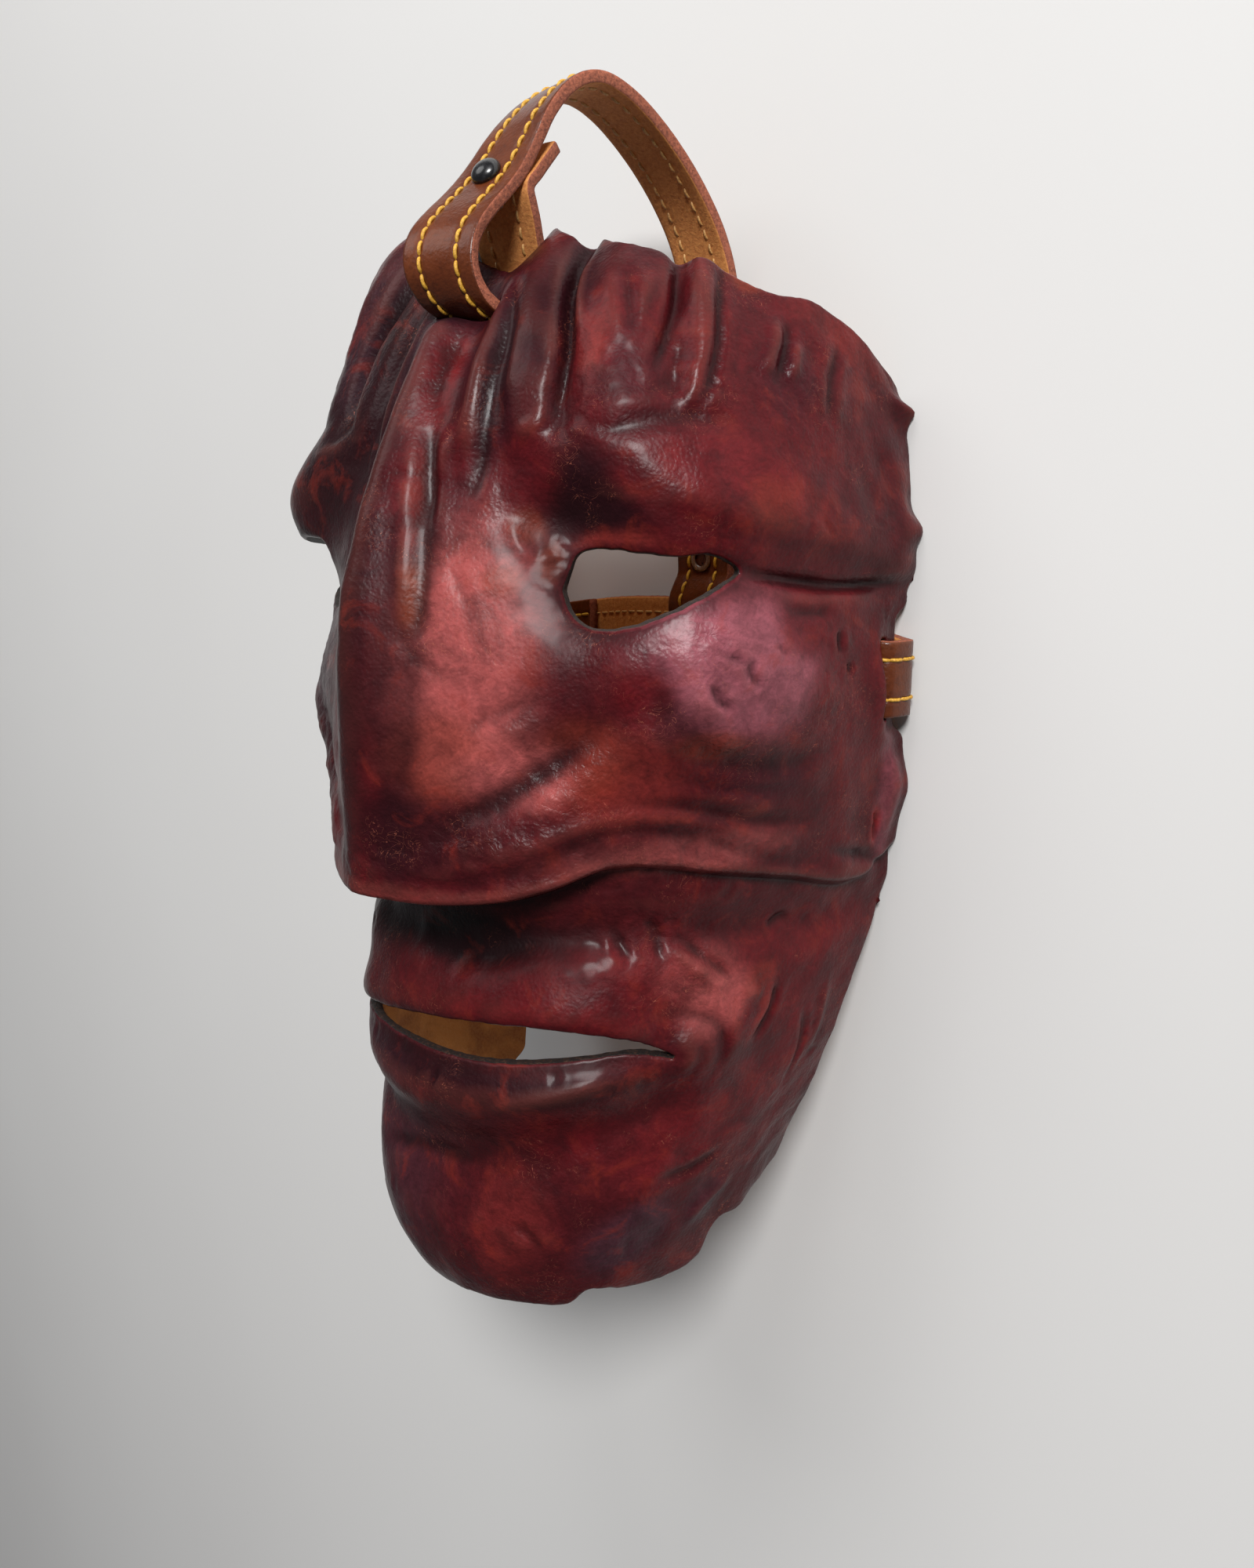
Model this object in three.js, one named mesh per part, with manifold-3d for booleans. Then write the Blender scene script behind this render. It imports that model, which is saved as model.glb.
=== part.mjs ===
// A moulded leather carnival mask of the deep, long-nosed kind, lying face up.
// Millimetres. +X is the viewer's right when facing it, +Y runs from chin to brow, +Z comes out
// of the face. The side rims and the strap loops lie in the plane z = 0.
import * as THREE from 'three';
import { mergeVertices } from 'three/addons/utils/BufferGeometryUtils.js';
import Module from 'manifold-3d';

const wasm = await Module();
wasm.setup();

const LEATHER = 3.0;          // thickness of the moulded shell
const GAP = 0.4;              // clearance between pieces that lie on each other
const HALF_GIRTH = 150;       // surface distance, nominal, from the nose line to a side rim
const GRID = { across: 40, along: 51, crowding: 1.15 };
const LINING_GRID = { across: 20, along: 26, crowding: 1.1 };
const STRAP_STEPS = { crown: 74, band: 74 };
const RIVET_SIDES = 10;

const STRAP = { width: 20, thickness: 3.2 };
const RIVET = { capRadius: 4.0, domeHeight: 2.2, postRadius: 1.7, hole: 2.1, drill: 24, backRadius: 3.8,
  backThickness: 1.0 };
const SLOT = { width: STRAP.width + 3, height: STRAP.thickness + 2, depth: 26 };
// Depths that the solids behind the moulded sheet are closed at, and how far its lining is drawn
// out past the rim. Openings are cut from inside the sheet to well outside it.
const CLOSED_AT = { face: 45, lining: -60 };
const LINING_RUN_OUT = 16;
const CUT = { inside: -14, outside: 30 };

// Cross sections from chin to brow. Each is half of a squared ellipse that joins the two side
// rims through the nose line: at = height on the nose line, then the rim's half width, its
// height and depth, the depth on the nose line, and how square the section is.
const SECTIONS = [
  { at: -146, half: 56, rimY: -104, rimZ: 30, noseZ: 89, square: 2.6 },
  { at: -128, half: 59, rimY: -90, rimZ: 26, noseZ: 101, square: 2.6 },
  { at: -100, half: 63, rimY: -74, rimZ: 20, noseZ: 105, square: 2.5 },
  { at: -60, half: 67.5, rimY: -48, rimZ: 11, noseZ: 105, square: 2.5 },
  { at: -32, half: 70, rimY: -25, rimZ: 1.1, noseZ: 104, square: 2.6 },
  { at: -10, half: 71, rimY: -6, rimZ: 0, noseZ: 103, square: 2.6 },
  { at: 20, half: 72, rimY: 20, rimZ: 0, noseZ: 104, square: 2.6 },
  { at: 60, half: 73, rimY: 52, rimZ: 0, noseZ: 104, square: 2.6 },
  { at: 100, half: 72, rimY: 82, rimZ: 0, noseZ: 97, square: 2.6 },
  { at: 128, half: 70, rimY: 100, rimZ: 0, noseZ: 83, square: 2.4 },
  { at: 150, half: 69, rimY: 110, rimZ: 3, noseZ: 60, square: 2.25 },
];
// The rim is lifted over each side strap loop.
const RIM_NOTCH = { from: 19, to: 65, run: 6, lift: 5.2, reach: 24 };

// Upper and lower trim of the sheet: [girth, height].
const BROW_TRIM = [[-150, 150], [-90, 148], [-57, 145], [-48, 148.5], [-36, 149], [-27, 147],
  [-22, 147], [-17.5, 140], [-6, 138], [6, 138], [10.5, 144.5], [15, 149], [20, 148.5], [26.5, 142.5],
  [31, 144], [42, 144], [52, 143.5], [57, 141], [62, 144], [90, 147], [150, 150]];
const CHIN_TRIM = [[-150, -144], [-60, -145], [-25, -141], [0, -133.5], [14, -130.5], [30, -131],
  [46, -133.5], [52, -130], [64, -134], [84, -140], [96, -141], [106, -136], [130, -138], [150, -141]];

// The fold that runs from rim to rim under nose and cheeks: [girth, height] and [girth, depth].
const FOLD_LINE = [[-160, -18], [-125, -20], [-92, -12], [-57, -5], [-40, -8], [-26, -12], [-10, -14.5],
  [8, -14.5], [20, -13], [30, -11], [38, -8], [48, -4], [57, -4], [71, -7.5], [92, -12.5],
  [125, -20.5], [152, -14]];
const FOLD_DEPTH = [[-160, 2], [-125, 4], [-57, 3], [-18, 6], [0, 5], [18, 7], [40, 8], [57, 6],
  [92, 6], [125, 5], [150, 2.5]];
const FOLD_OVERHANG = 0.35;

// Ridges that run down the face: [height, girth, half width towards the ear, and towards the
// nose, relief]. Ridges across it: [girth, height, half width above, and below, relief].
const NOSE_SPINE = [[-40, 0, 8, 8, 2], [-12, 0, 9, 9, 5], [-4, 0, 9, 9, 6.5], [24, 0, 9, 9, 7.5],
  [61, -1, 8, 8, 8.5], [108, -3, 6.5, 7, 8], [119, -3.5, 6, 7, 7.5], [127, -4, 6, 7, 0]];
const NOSE_BODY = [[-40, 0, 30, 30, 14], [0, 0, 35, 35, 16], [24, 0, 31, 31, 16.5],
  [50, 0, 26, 26, 15], [75, 0, 20, 20, 9], [95, 0, 15, 15, 4], [115, 0, 14, 14, 0]];
const BROW_RIDGE = [[26, 84, 8, 8, 0], [38, 90, 10, 9, 3], [50, 95, 13, 10, 7], [63, 92, 14, 10, 10],
  [80, 90, 15, 11, 11], [100, 86, 14, 10, 8], [152, 77, 10, 8, 2]];
const EYE_CREASE = [[60, 70, 5, 5, 0], [74, 69, 5, 5, -4], [92, 68, 4.5, 4.5, -5], [150, 69, 5, 5, -2]];
const NOSE_CREASE = [[40, 58, 5, 6, 0], [31, 49, 5, 6, -3], [19, 36, 5, 6, -4], [8, 23, 5, 6, -3.5],
  [-2, 10, 5, 5, -1]];
const NOSE_FOLD = [[44, 68, 8, 7, 0], [32, 60, 10, 7, 3], [18, 48, 12, 7, 3.5], [5, 34, 12, 6, 3],
  [-6, 20, 9, 5, 1]];
const UPPER_LIP = [[-48, -58, 5, 5, 0], [-30, -53, 8, 6, 3], [0, -47, 8, 5, 3], [29, -44, 8, 5, 3],
  [50, -46, 8, 5, 3], [72, -56, 5, 5, 0]];
const LOWER_LIP = [[-58, -66, 5, 6, 0], [-12, -68, 6, 10, 6], [10, -67, 6, 10, 6],
  [40, -63, 5, 9, 5.5], [58, -62, 5, 9, 4], [76, -62, 6, 6, 0]];
const LIP_CREASE = [[0, -90, 7, 9, -4], [20, -86, 7, 9, -4], [45, -80, 7, 8, -3], [85, -72, 6, 6, 0]];
const SHADE_HOLLOW = [[0, -31, 9, 6, -3], [20, -29, 8, 6, -4], [38, -24, 8, 6, -4], [150, -34, 6, 6, -1]];
// Forehead pleats, mirrored: ridges stand out, the creases between them are sunk.
const PLEATS = [
  [[84, 16, 6, 6, 0], [96, 16, 5, 5, 2.5], [114, 14, 4, 4, 4], [134, 12, 4, 4, 1]],
  [[84, 24, 3, 4, 0], [100, 23, 3, 4, -3], [119, 19.5, 3, 3, -3.5], [134, 15, 3, 3, -1]],
  [[92, 32, 5, 6, 0], [101, 31, 4.5, 5.5, 4], [116, 29, 5.5, 6, 5], [130, 22, 7, 7, 5], [152, 14, 9, 8, 3]],
  [[94, 37, 4, 4, 0], [101, 37, 3.6, 4, -4], [116, 36, 3.4, 3.4, -5], [130, 31, 3.2, 3.2, -5],
    [152, 27, 3.4, 3.4, -4]],
  [[98, 45, 7, 5, 0], [106, 45, 8, 5, 3], [121, 46, 9, 6, 4.5], [152, 42, 10, 8, 4]],
  [[104, 60, 4, 4, 0], [112, 61, 4, 4, -3], [127, 61, 3.6, 3.6, -4], [152, 57, 3.4, 3.4, -3]],
  [[104, 66, 4, 4, 0], [112, 66, 4, 4, 3], [128, 65.5, 4, 4, 4.5], [152, 62, 4, 4, 3.5]],
];

// Openings, from the inner to the outer corner: [girth, lower edge, upper edge].
const EYE_HOLE = [[39, 61.5, 62.5], [41.5, 56, 70], [45, 53.5, 71.8], [50, 53, 72.2], [57, 55, 71.6],
  [64, 59, 71.4], [70, 63, 72.6], [75, 66.5, 71.2], [78, 68.6, 69.4]];
const MOUTH_HOLE = [[-50, -60.3, -59.8], [-30, -60, -56], [-10, -59, -52], [10, -58.5, -48.5],
  [32, -57, -46.5], [45, -56, -48], [59, -55.6, -52], [71, -58.8, -58.2]];

const BROW_SLOT = { at: new THREE.Vector3(0, 125.2, 82.5), turn: new THREE.Euler(1.12, 0, -0.1) };
const SIDE_SLOT = { y: 36, z: 12.2, reach: 14 };

// Centre line of the crown strap, from the flap inside the forehead, out through the slot, up
// over the head and down to the rear band, which its other end wraps: [x, y, z, turn in degrees].
const CROWN_LINE = [
  [-3, 167.5, 65.4, 0], [-2.4, 160.6, 71.8, 0], [-2, 156.6, 75.2, 0], [-2.4, 153, 78.2, 0],
  [-3.4, 150.2, 79, 0], [-4.2, 147.8, 77, 2], [-4.6, 146, 72.8, 4], [-4.6, 143.2, 68.6, 6],
  [-4, 139, 67.2, 6], [-2.8, 133.6, 69.4, 6], [-1.4, 128.4, 71.6, 6], [-0.4, 124.6, 74.2, 6],
  [0, 123.4, 78.2, 6], [0, 125.2, 82.6, 6], [0, 127.2, 87.2, 10], [-0.4, 130, 91.4, 16],
  [-1, 134.7, 93.4, 20], [-1.4, 139.7, 93, 18], [-1.8, 144.8, 90.4, 12], [-2, 149.9, 86.2, 6],
  [-2, 154.4, 82.1, 2], [-2, 159, 78, 0], [-2, 163.8, 74.2, -4], [-1.6, 169, 70.8, -8],
  [-1, 174.2, 67.2, -12], [-0.4, 180.4, 61, -14], [0, 184.2, 54.4, -14], [0.4, 185.4, 47.8, -12],
  [0.8, 183.6, 40.4, -10], [1, 179.6, 32.4, -8], [1.4, 172.2, 22.4, -6], [2, 163.2, 13.8, -4],
  [3, 154, 8.2, -2], [4, 143, 4.8, 0], [5.2, 122, 4.5, 0], [6.7, 92, 4.5, 0], [7.8, 65.5, 4.5, 0],
  [8, 50, 4.5, 0], [8, 36.4, 4.6, 0], [8, 32, 5.6, 0], [8, 30.3, 8.5, 0], [8, 32, 11.4, 0],
  [8, 36.4, 12.4, 0], [8, 48, 12.4, 0],
  [8, 53.4, 12.4, 0], [8, 57.2, 10.6, 0], [7.9, 60.6, 8.6, 0], [7.8, 65.5, 8.4, 0], [7.6, 75, 8.4, 0]];
// Centre line of half of the rear band, from the flap inside the side slot, round the rim and in
// along the floor to the middle: [x, z].
const BAND_LINE = [
  [41, 8.6], [47, 8.2], [52, 8.2], [57, 8.6], [62, 10.9], [66, 12.1], [70, 12.3], [73.4, 12.1],
  [75.5, 10.6], [76, 8], [76, 5.2], [75.2, 2.9], [72.6, 1.9], [67, 1.8], [58.5, 4.2], [52, 4.5],
  [45, 4.6], [36, 5.4], [26, 7.6], [19, 8.5], [0, 8.5]];
const BAND_SAG = { middle: 44, side: 36, half: 74 };

// Each rivet: the piece that it goes through, where the outer face is, and the way the cap faces.
const RIVETS = [
  { name: 'front', at: [-2, 159, 78], facing: [0, 0.64, 0.768], clamp: 3.7 },
  { name: 'rear', at: [7.8, 65.5, 4.5], facing: [0, 0, -1], clamp: 3.9 },
  { name: 'right', at: [52, null, 4.5], facing: [0, 0, -1], clamp: 3.7 },
  { name: 'left', at: [-52, null, 4.5], facing: [0, 0, -1], clamp: 3.7 },
];

const COLOURS = {
  shell: 0x571f22, strap: 0x7a421f, cap: 0x141416, back: 0xb9b6b0,
};

// Smooth curve through the rows of a table, read at x in its first column.
function along(table, x, column = 1) {
  const last = table.length - 1;
  const at = Math.min(Math.max(x, table[0][0]), table[last][0]);
  let i = 0;
  while (i < last - 1 && at >= table[i + 1][0]) i += 1;
  const slope = (k) => {
    const a = Math.max(k - 1, 0);
    const b = Math.min(k + 1, last);
    return (table[b][column] - table[a][column]) / (table[b][0] - table[a][0]);
  };
  const step = table[i + 1][0] - table[i][0];
  const t = (at - table[i][0]) / step;
  return (1 + 2 * t) * (1 - t) ** 2 * table[i][column] + t * (1 - t) ** 2 * step * slope(i)
    + t * t * (3 - 2 * t) * table[i + 1][column] + t * t * (t - 1) * step * slope(i + 1);
}

const ramp = (x, from, to) => THREE.MathUtils.smoothstep(x, from, to);
const rowsOf = (key) => SECTIONS.map((section) => [section.at, section[key]]);
const HALF = rowsOf('half');
const RIM_Y = rowsOf('rimY');
const RIM_Z = rowsOf('rimZ');
const NOSE_Z = rowsOf('noseZ');
const SQUARE = rowsOf('square');

// The plain shell surface, without relief.
function plain(girth, height) {
  const angle = (girth / HALF_GIRTH) * (Math.PI / 2);
  const side = Math.sin(angle);
  const front = Math.max(Math.cos(angle), 0);
  const rim = new THREE.Vector2(along(RIM_Y, height), along(RIM_Z, height));
  const reach = new THREE.Vector2(height, along(NOSE_Z, height)).sub(rim);
  const n = along(SQUARE, height);
  const radius = ((Math.abs(side) / along(HALF, height)) ** n + (front / reach.length()) ** n) ** (-1 / n);
  rim.addScaledVector(reach.normalize(), radius * front);
  return new THREE.Vector3(radius * side, rim.x, rim.y);
}

function outward(girth, height) {
  const e = 0.5;
  const across = plain(girth + e, height).sub(plain(girth - e, height));
  const up = plain(girth, height + e).sub(plain(girth, height - e));
  return across.cross(up).normalize();
}

// One ridge or crease, as a soft bell across its line.
function ridge(rows, place, across) {
  if (place <= rows[0][0] || place >= rows[rows.length - 1][0]) return 0;
  const off = across - along(rows, place, 1);
  const width = along(rows, place, off > 0 ? 2 : 3);
  return along(rows, place, 4) * Math.exp(-((off / width) ** 2));
}
const downward = (rows) => rows.slice().sort((a, b) => a[0] - b[0]);

function swell(girth, height, atGirth, atHeight, wide, tall, rise) {
  return rise * Math.exp(-(((girth - atGirth) / wide) ** 2) - ((height - atHeight) / tall) ** 2);
}

const DOWN_RIDGES = [[NOSE_SPINE, false], [NOSE_BODY, true], [NOSE_CREASE, true], [NOSE_FOLD, true]]
  .map(([rows, mirrored]) => ({ rows: downward(rows), mirrored }));
const PLEAT_ROWS = PLEATS.map(downward);

// How far the surface stands out of the plain shell.
function relief(girth, height) {
  const m = Math.abs(girth);
  const fold = along(FOLD_LINE, girth);
  const above = ramp(height - fold, -2, 2.5);
  let cheeks = 0;
  for (const { rows, mirrored } of DOWN_RIDGES) cheeks += ridge(rows, height, mirrored ? m : girth);
  cheeks += ridge(BROW_RIDGE, m, height) + ridge(EYE_CREASE, m, height);
  cheeks += swell(girth, height, -55, 76, 27, 20, 21);      // heavier brow on one side
  cheeks += swell(girth, height, -64, 112, 30, 26, 14);     // and temple
  cheeks += swell(girth, height, -58, 22, 26, 22, 9);       // and cheek
  cheeks += swell(m, height, 76, 45, 28, 23, 10);           // cheek
  cheeks += swell(m, height, 100, 20, 34, 26, 5);
  cheeks += swell(m, height, 40, 78, 13, 11, -9);           // hollow between nose and brow
  cheeks += swell(m, height, 46, 62, 14, 12, -6);           // eye socket
  cheeks += along(FOLD_DEPTH, girth) * Math.exp(-Math.max(height - fold, 0) / 22);
  let jaw = ridge(UPPER_LIP, girth, height) + ridge(LOWER_LIP, girth, height);
  jaw += ridge(LIP_CREASE, m, height) + ridge(SHADE_HOLLOW, m, height);
  jaw += swell(girth, height, 0, -50, 52, 30, 4);           // muzzle
  jaw += swell(girth, height, 0, -114, 46, 22, 6);          // chin
  jaw += swell(m, height, 84, -60, 12, 16, 3.5);            // corner of the mouth
  let total = cheeks * above + jaw * (1 - above);
  for (const rows of PLEAT_ROWS) total += ridge(rows, height, m);
  total += swell(m, height, 98, 122, 26, 22, 3);            // temple
  total += swell(m, height, 45, 128, 30, 24, 2);            // forehead
  total += swell(girth, height, -42, 144, 22, 18, 10);      // and its rim beside the strap
  return total;
}

function surface(girth, height, lift = 0) {
  const point = plain(girth, height);
  point.addScaledVector(outward(girth, height), lift);
  const fold = along(FOLD_LINE, girth);
  point.y -= along(FOLD_DEPTH, girth) * FOLD_OVERHANG * Math.exp(-(((height - fold - 1.5) / 5) ** 2));
  const { from, to, run, reach } = RIM_NOTCH;
  const notch = ramp(height, from, from + run) * (1 - ramp(height, to - run, to));
  point.z += RIM_NOTCH.lift * notch * ramp(Math.abs(girth), HALF_GIRTH - reach, HALF_GIRTH);
  return point;
}

function toManifold(positions, triangles) {
  const mesh = new wasm.Mesh({
    numProp: 3,
    vertProperties: new Float32Array(positions.flatMap((p) => [p.x, p.y, p.z])),
    triVerts: new Uint32Array(triangles.flat()),
  });
  return new wasm.Manifold(mesh);
}

function geometryToManifold(geometry) {
  const bare = geometry.clone();
  bare.deleteAttribute('normal');
  bare.deleteAttribute('uv');
  const merged = mergeVertices(bare, 1e-4);
  const mesh = new wasm.Mesh({
    numProp: 3,
    vertProperties: new Float32Array(merged.attributes.position.array),
    triVerts: new Uint32Array(merged.index.array),
  });
  return new wasm.Manifold(mesh);
}

function toGeometry(manifold) {
  const mesh = manifold.getMesh();
  const geometry = new THREE.BufferGeometry();
  geometry.setAttribute('position', new THREE.BufferAttribute(mesh.vertProperties, 3));
  geometry.setIndex(new THREE.BufferAttribute(mesh.triVerts, 1));
  geometry.computeVertexNormals();
  return geometry;
}

// A grid over the sheet, closed behind by a ring that follows its edge and a point.
function sheetSolid({ across, along: rows, crowding }, pointAt, ringAt, tip) {
  const points = [];
  const triangles = [];
  for (let j = 0; j <= rows; j += 1) {
    for (let i = 0; i <= across; i += 1) {
      const u = (2 * i) / across - 1;
      const girth = HALF_GIRTH * Math.sign(u) * Math.abs(u) ** crowding;
      const low = along(CHIN_TRIM, girth);
      const height = low + ((along(BROW_TRIM, girth) - low) * j) / rows;
      points.push(pointAt(girth, height));
      if (i > 0 && j > 0) {
        const d = points.length - 1;
        const a = d - across - 2;
        triangles.push([a, a + 1, d], [a, d, d - 1]);
      }
    }
  }
  const index = (i, j) => j * (across + 1) + i;
  const edge = [];
  for (let i = 0; i < across; i += 1) edge.push(index(i, 0));
  for (let j = 0; j < rows; j += 1) edge.push(index(across, j));
  for (let i = across; i > 0; i -= 1) edge.push(index(i, rows));
  for (let j = rows; j > 0; j -= 1) edge.push(index(0, j));
  const start = points.length;
  points.push(...ringAt(edge, points), tip);
  const last = points.length - 1;
  edge.forEach((a, k) => {
    const next = (k + 1) % edge.length;
    triangles.push([a, start + next, edge[next]], [a, start + k, start + next]);
    triangles.push([start + k, last, start + next]);
  });
  return toManifold(points, triangles);
}

// Outer body: the moulded face, then an edge as deep as the leather, then a shallow back.
function faceSolid() {
  const ring = (edge, points) => edge.map((k) => {
    const outwards = points[k].clone().setZ(points[k].z * 0.55).normalize();
    return points[k].clone().addScaledVector(outwards, -LEATHER - 2);
  });
  return sheetSolid(GRID, (girth, height) => surface(girth, height, relief(girth, height)),
    ring, new THREE.Vector3(0, 0, CLOSED_AT.face));
}

// Room inside: the same face without its sharp relief, drawn on past the rim.
function roomSolid() {
  const near = [-10, -6, -3, 0, 3, 6, 10].flatMap((h) => [[0, h], [4, h], [-4, h]]);
  const lining = (girth, height) => {
    const least = near.map(([g, h]) => relief(girth + g, height + h)).reduce((a, b) => Math.min(a, b));
    return surface(girth, height, least - LEATHER);
  };
  const ring = (edge, points) => edge.map((k) => {
    const rimward = points[k].clone().setZ(CLOSED_AT.lining).normalize();
    return points[k].clone().addScaledVector(rimward, LINING_RUN_OUT);
  });
  return sheetSolid(LINING_GRID, lining, ring, new THREE.Vector3(0, 0, CLOSED_AT.lining));
}

// A cutter through the leather with the outline of an opening.
function openingSolid(outline, mirror) {
  const points = [];
  const triangles = [];
  outline.forEach(([girth, low, high], k) => {
    for (const lift of [CUT.inside, CUT.outside]) {
      for (const height of [low, high]) points.push(surface(mirror * girth, height, lift));
    }
    if (k === 0) return;
    const [a, b] = [(k - 1) * 4, k * 4];
    for (const [p, q] of [[0, 1], [1, 3], [3, 2], [2, 0]]) {
      triangles.push([a + p, b + q, b + p], [a + p, a + q, b + q]);
    }
  });
  const end = points.length - 4;
  triangles.push([0, 3, 1], [0, 2, 3], [end, end + 1, end + 3], [end, end + 3, end + 2]);
  if (mirror < 0) triangles.forEach((t) => t.reverse());
  return toManifold(points, triangles);
}

function boxSolid(size, at, turn = new THREE.Euler()) {
  const geometry = new THREE.BoxGeometry(...size);
  geometry.applyMatrix4(new THREE.Matrix4().makeRotationFromEuler(turn).setPosition(at));
  return geometryToManifold(geometry);
}

function maskShell() {
  let shell = faceSolid().subtract(roomSolid());
  shell = shell.subtract(openingSolid(EYE_HOLE, 1)).subtract(openingSolid(EYE_HOLE, -1));
  shell = shell.subtract(openingSolid(MOUTH_HOLE, 1));
  shell = shell.subtract(boxSolid([SLOT.width, SLOT.depth, SLOT.height], BROW_SLOT.at, BROW_SLOT.turn));
  for (const side of [1, -1]) {
    const at = new THREE.Vector3(side * SECTIONS[6].half, SIDE_SLOT.y, SIDE_SLOT.z);
    shell = shell.subtract(boxSolid([SIDE_SLOT.reach, SLOT.width, SLOT.height], at));
  }
  return shell;
}

// A flat strap swept along its centre line; side gives the width direction at each station.
function strapSolid(stations, steps) {
  const curve = new THREE.CatmullRomCurve3(stations.map((s) => s.at), false, 'centripetal');
  const points = [];
  const triangles = [];
  const half = { width: STRAP.width / 2, thickness: STRAP.thickness / 2 };
  for (let k = 0; k <= steps; k += 1) {
    const t = k / steps;
    const place = t * (stations.length - 1);
    const i = Math.min(Math.floor(place), stations.length - 2);
    const at = curve.getPoint(t);
    const ahead = curve.getTangent(t);
    const side = stations[i].side.clone().lerp(stations[i + 1].side, place - i);
    const up = ahead.clone().cross(side).normalize();
    for (const [w, h] of [[-1, -1], [1, -1], [1, 1], [-1, 1]]) {
      points.push(at.clone().addScaledVector(side, w * half.width).addScaledVector(up, h * half.thickness));
    }
    if (k === 0) continue;
    const [a, b] = [(k - 1) * 4, k * 4];
    for (let p = 0; p < 4; p += 1) {
      const q = (p + 1) % 4;
      triangles.push([a + p, b + q, b + p], [a + p, a + q, b + q]);
    }
  }
  const end = steps * 4;
  triangles.push([0, 2, 1], [0, 3, 2], [end, end + 1, end + 2], [end, end + 2, end + 3]);
  return toManifold(points, triangles);
}

function crownStations() {
  return CROWN_LINE.map(([x, y, z, degrees]) => {
    const turn = THREE.MathUtils.degToRad(degrees);
    return { at: new THREE.Vector3(x, y, z), side: new THREE.Vector3(Math.cos(turn), 0, -Math.sin(turn)) };
  });
}

const bandHeight = (x) => BAND_SAG.middle - (BAND_SAG.middle - BAND_SAG.side) * (x / BAND_SAG.half) ** 2;

function bandStations() {
  const side = new THREE.Vector3(0, 1, 0);
  const halfLine = BAND_LINE.map(([x, z]) => new THREE.Vector3(x, bandHeight(Math.min(x, BAND_SAG.half)), z));
  const other = halfLine.slice(0, -1).reverse().map((p) => new THREE.Vector3(-p.x, p.y, p.z));
  return [...halfLine, ...other].map((at) => ({ at, side }));
}

// Places a piece built along +Y, with y = 0 on the strap's outer face, at a rivet.
function placed(geometry, rivet) {
  const facing = new THREE.Vector3(...rivet.facing);
  const turn = new THREE.Quaternion().setFromUnitVectors(new THREE.Vector3(0, 1, 0), facing);
  const [x, y, z] = rivet.at;
  const at = new THREE.Vector3(x, y ?? bandHeight(x), z).addScaledVector(facing, STRAP.thickness / 2);
  geometry.applyMatrix4(new THREE.Matrix4().compose(at, turn, new THREE.Vector3(1, 1, 1)));
  return geometry;
}

const through = (rivet) => rivet.clamp + STRAP.thickness;

function rivetCap(rivet) {
  const { capRadius, domeHeight, postRadius } = RIVET;
  const length = through(rivet) + GAP + RIVET.backThickness * 0.6;
  const dome = [0.5, 0.82, 1].map((f) => new THREE.Vector2(
    capRadius * f, GAP + domeHeight * Math.sqrt(1 - f * f * 0.92)));
  const profile = [new THREE.Vector2(0, -length + 0.6), new THREE.Vector2(postRadius, -length),
    new THREE.Vector2(postRadius, GAP), new THREE.Vector2(capRadius, GAP),
    ...dome.reverse(), new THREE.Vector2(0, GAP + domeHeight)];
  return placed(new THREE.LatheGeometry(profile, RIVET_SIDES), rivet);
}

function rivetBack(rivet) {
  const top = -through(rivet) - GAP;
  const bottom = top - RIVET.backThickness;
  const profile = [[RIVET.hole, top], [RIVET.hole, bottom], [RIVET.backRadius - 0.4, bottom],
    [RIVET.backRadius, top], [RIVET.hole, top]].map(([r, y]) => new THREE.Vector2(r, y));
  return placed(new THREE.LatheGeometry(profile, RIVET_SIDES), rivet);
}

function rivetHole(rivet) {
  const drill = new THREE.CylinderGeometry(RIVET.hole, RIVET.hole, RIVET.drill, RIVET_SIDES);
  return geometryToManifold(placed(drill, rivet));
}

const material = (colour, roughness, metalness) => new THREE.MeshStandardMaterial(
  { color: colour, roughness, metalness });

const solids = { mask_shell: [maskShell(), material(COLOURS.shell, 0.42, 0)] };
const crown = strapSolid(crownStations(), STRAP_STEPS.crown);
const band = strapSolid(bandStations(), STRAP_STEPS.band);
solids.crown_strap = [RIVETS.slice(0, 2).reduce((s, r) => s.subtract(rivetHole(r)), crown),
  material(COLOURS.strap, 0.45, 0)];
solids.rear_band = [RIVETS.slice(2).reduce((s, r) => s.subtract(rivetHole(r)), band),
  material(COLOURS.strap, 0.45, 0)];

const group = new THREE.Group();
for (const [name, [solid, finish]] of Object.entries(solids)) {
  const mesh = new THREE.Mesh(toGeometry(solid), finish);
  mesh.name = name;
  group.add(mesh);
}
for (const rivet of RIVETS) {
  const cap = new THREE.Mesh(rivetCap(rivet), material(COLOURS.cap, 0.25, 0.6));
  cap.name = `${rivet.name}_rivet_cap`;
  const back = new THREE.Mesh(rivetBack(rivet), material(COLOURS.back, 0.4, 0.8));
  back.name = `${rivet.name}_rivet_back`;
  group.add(cap, back);
}

// The origin is under the middle of the whole mask, on the surface it lies on.
const box = new THREE.Box3().setFromObject(group, true);
const middle = box.getCenter(new THREE.Vector3());
group.children.forEach((mesh) => mesh.position.set(-middle.x, -middle.y, -box.min.z));

export default group;
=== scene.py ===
import bpy
import numpy as np
from mathutils import Euler, Matrix, Vector, kdtree, noise
from mathutils.geometry import delaunay_2d_cdt


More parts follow.
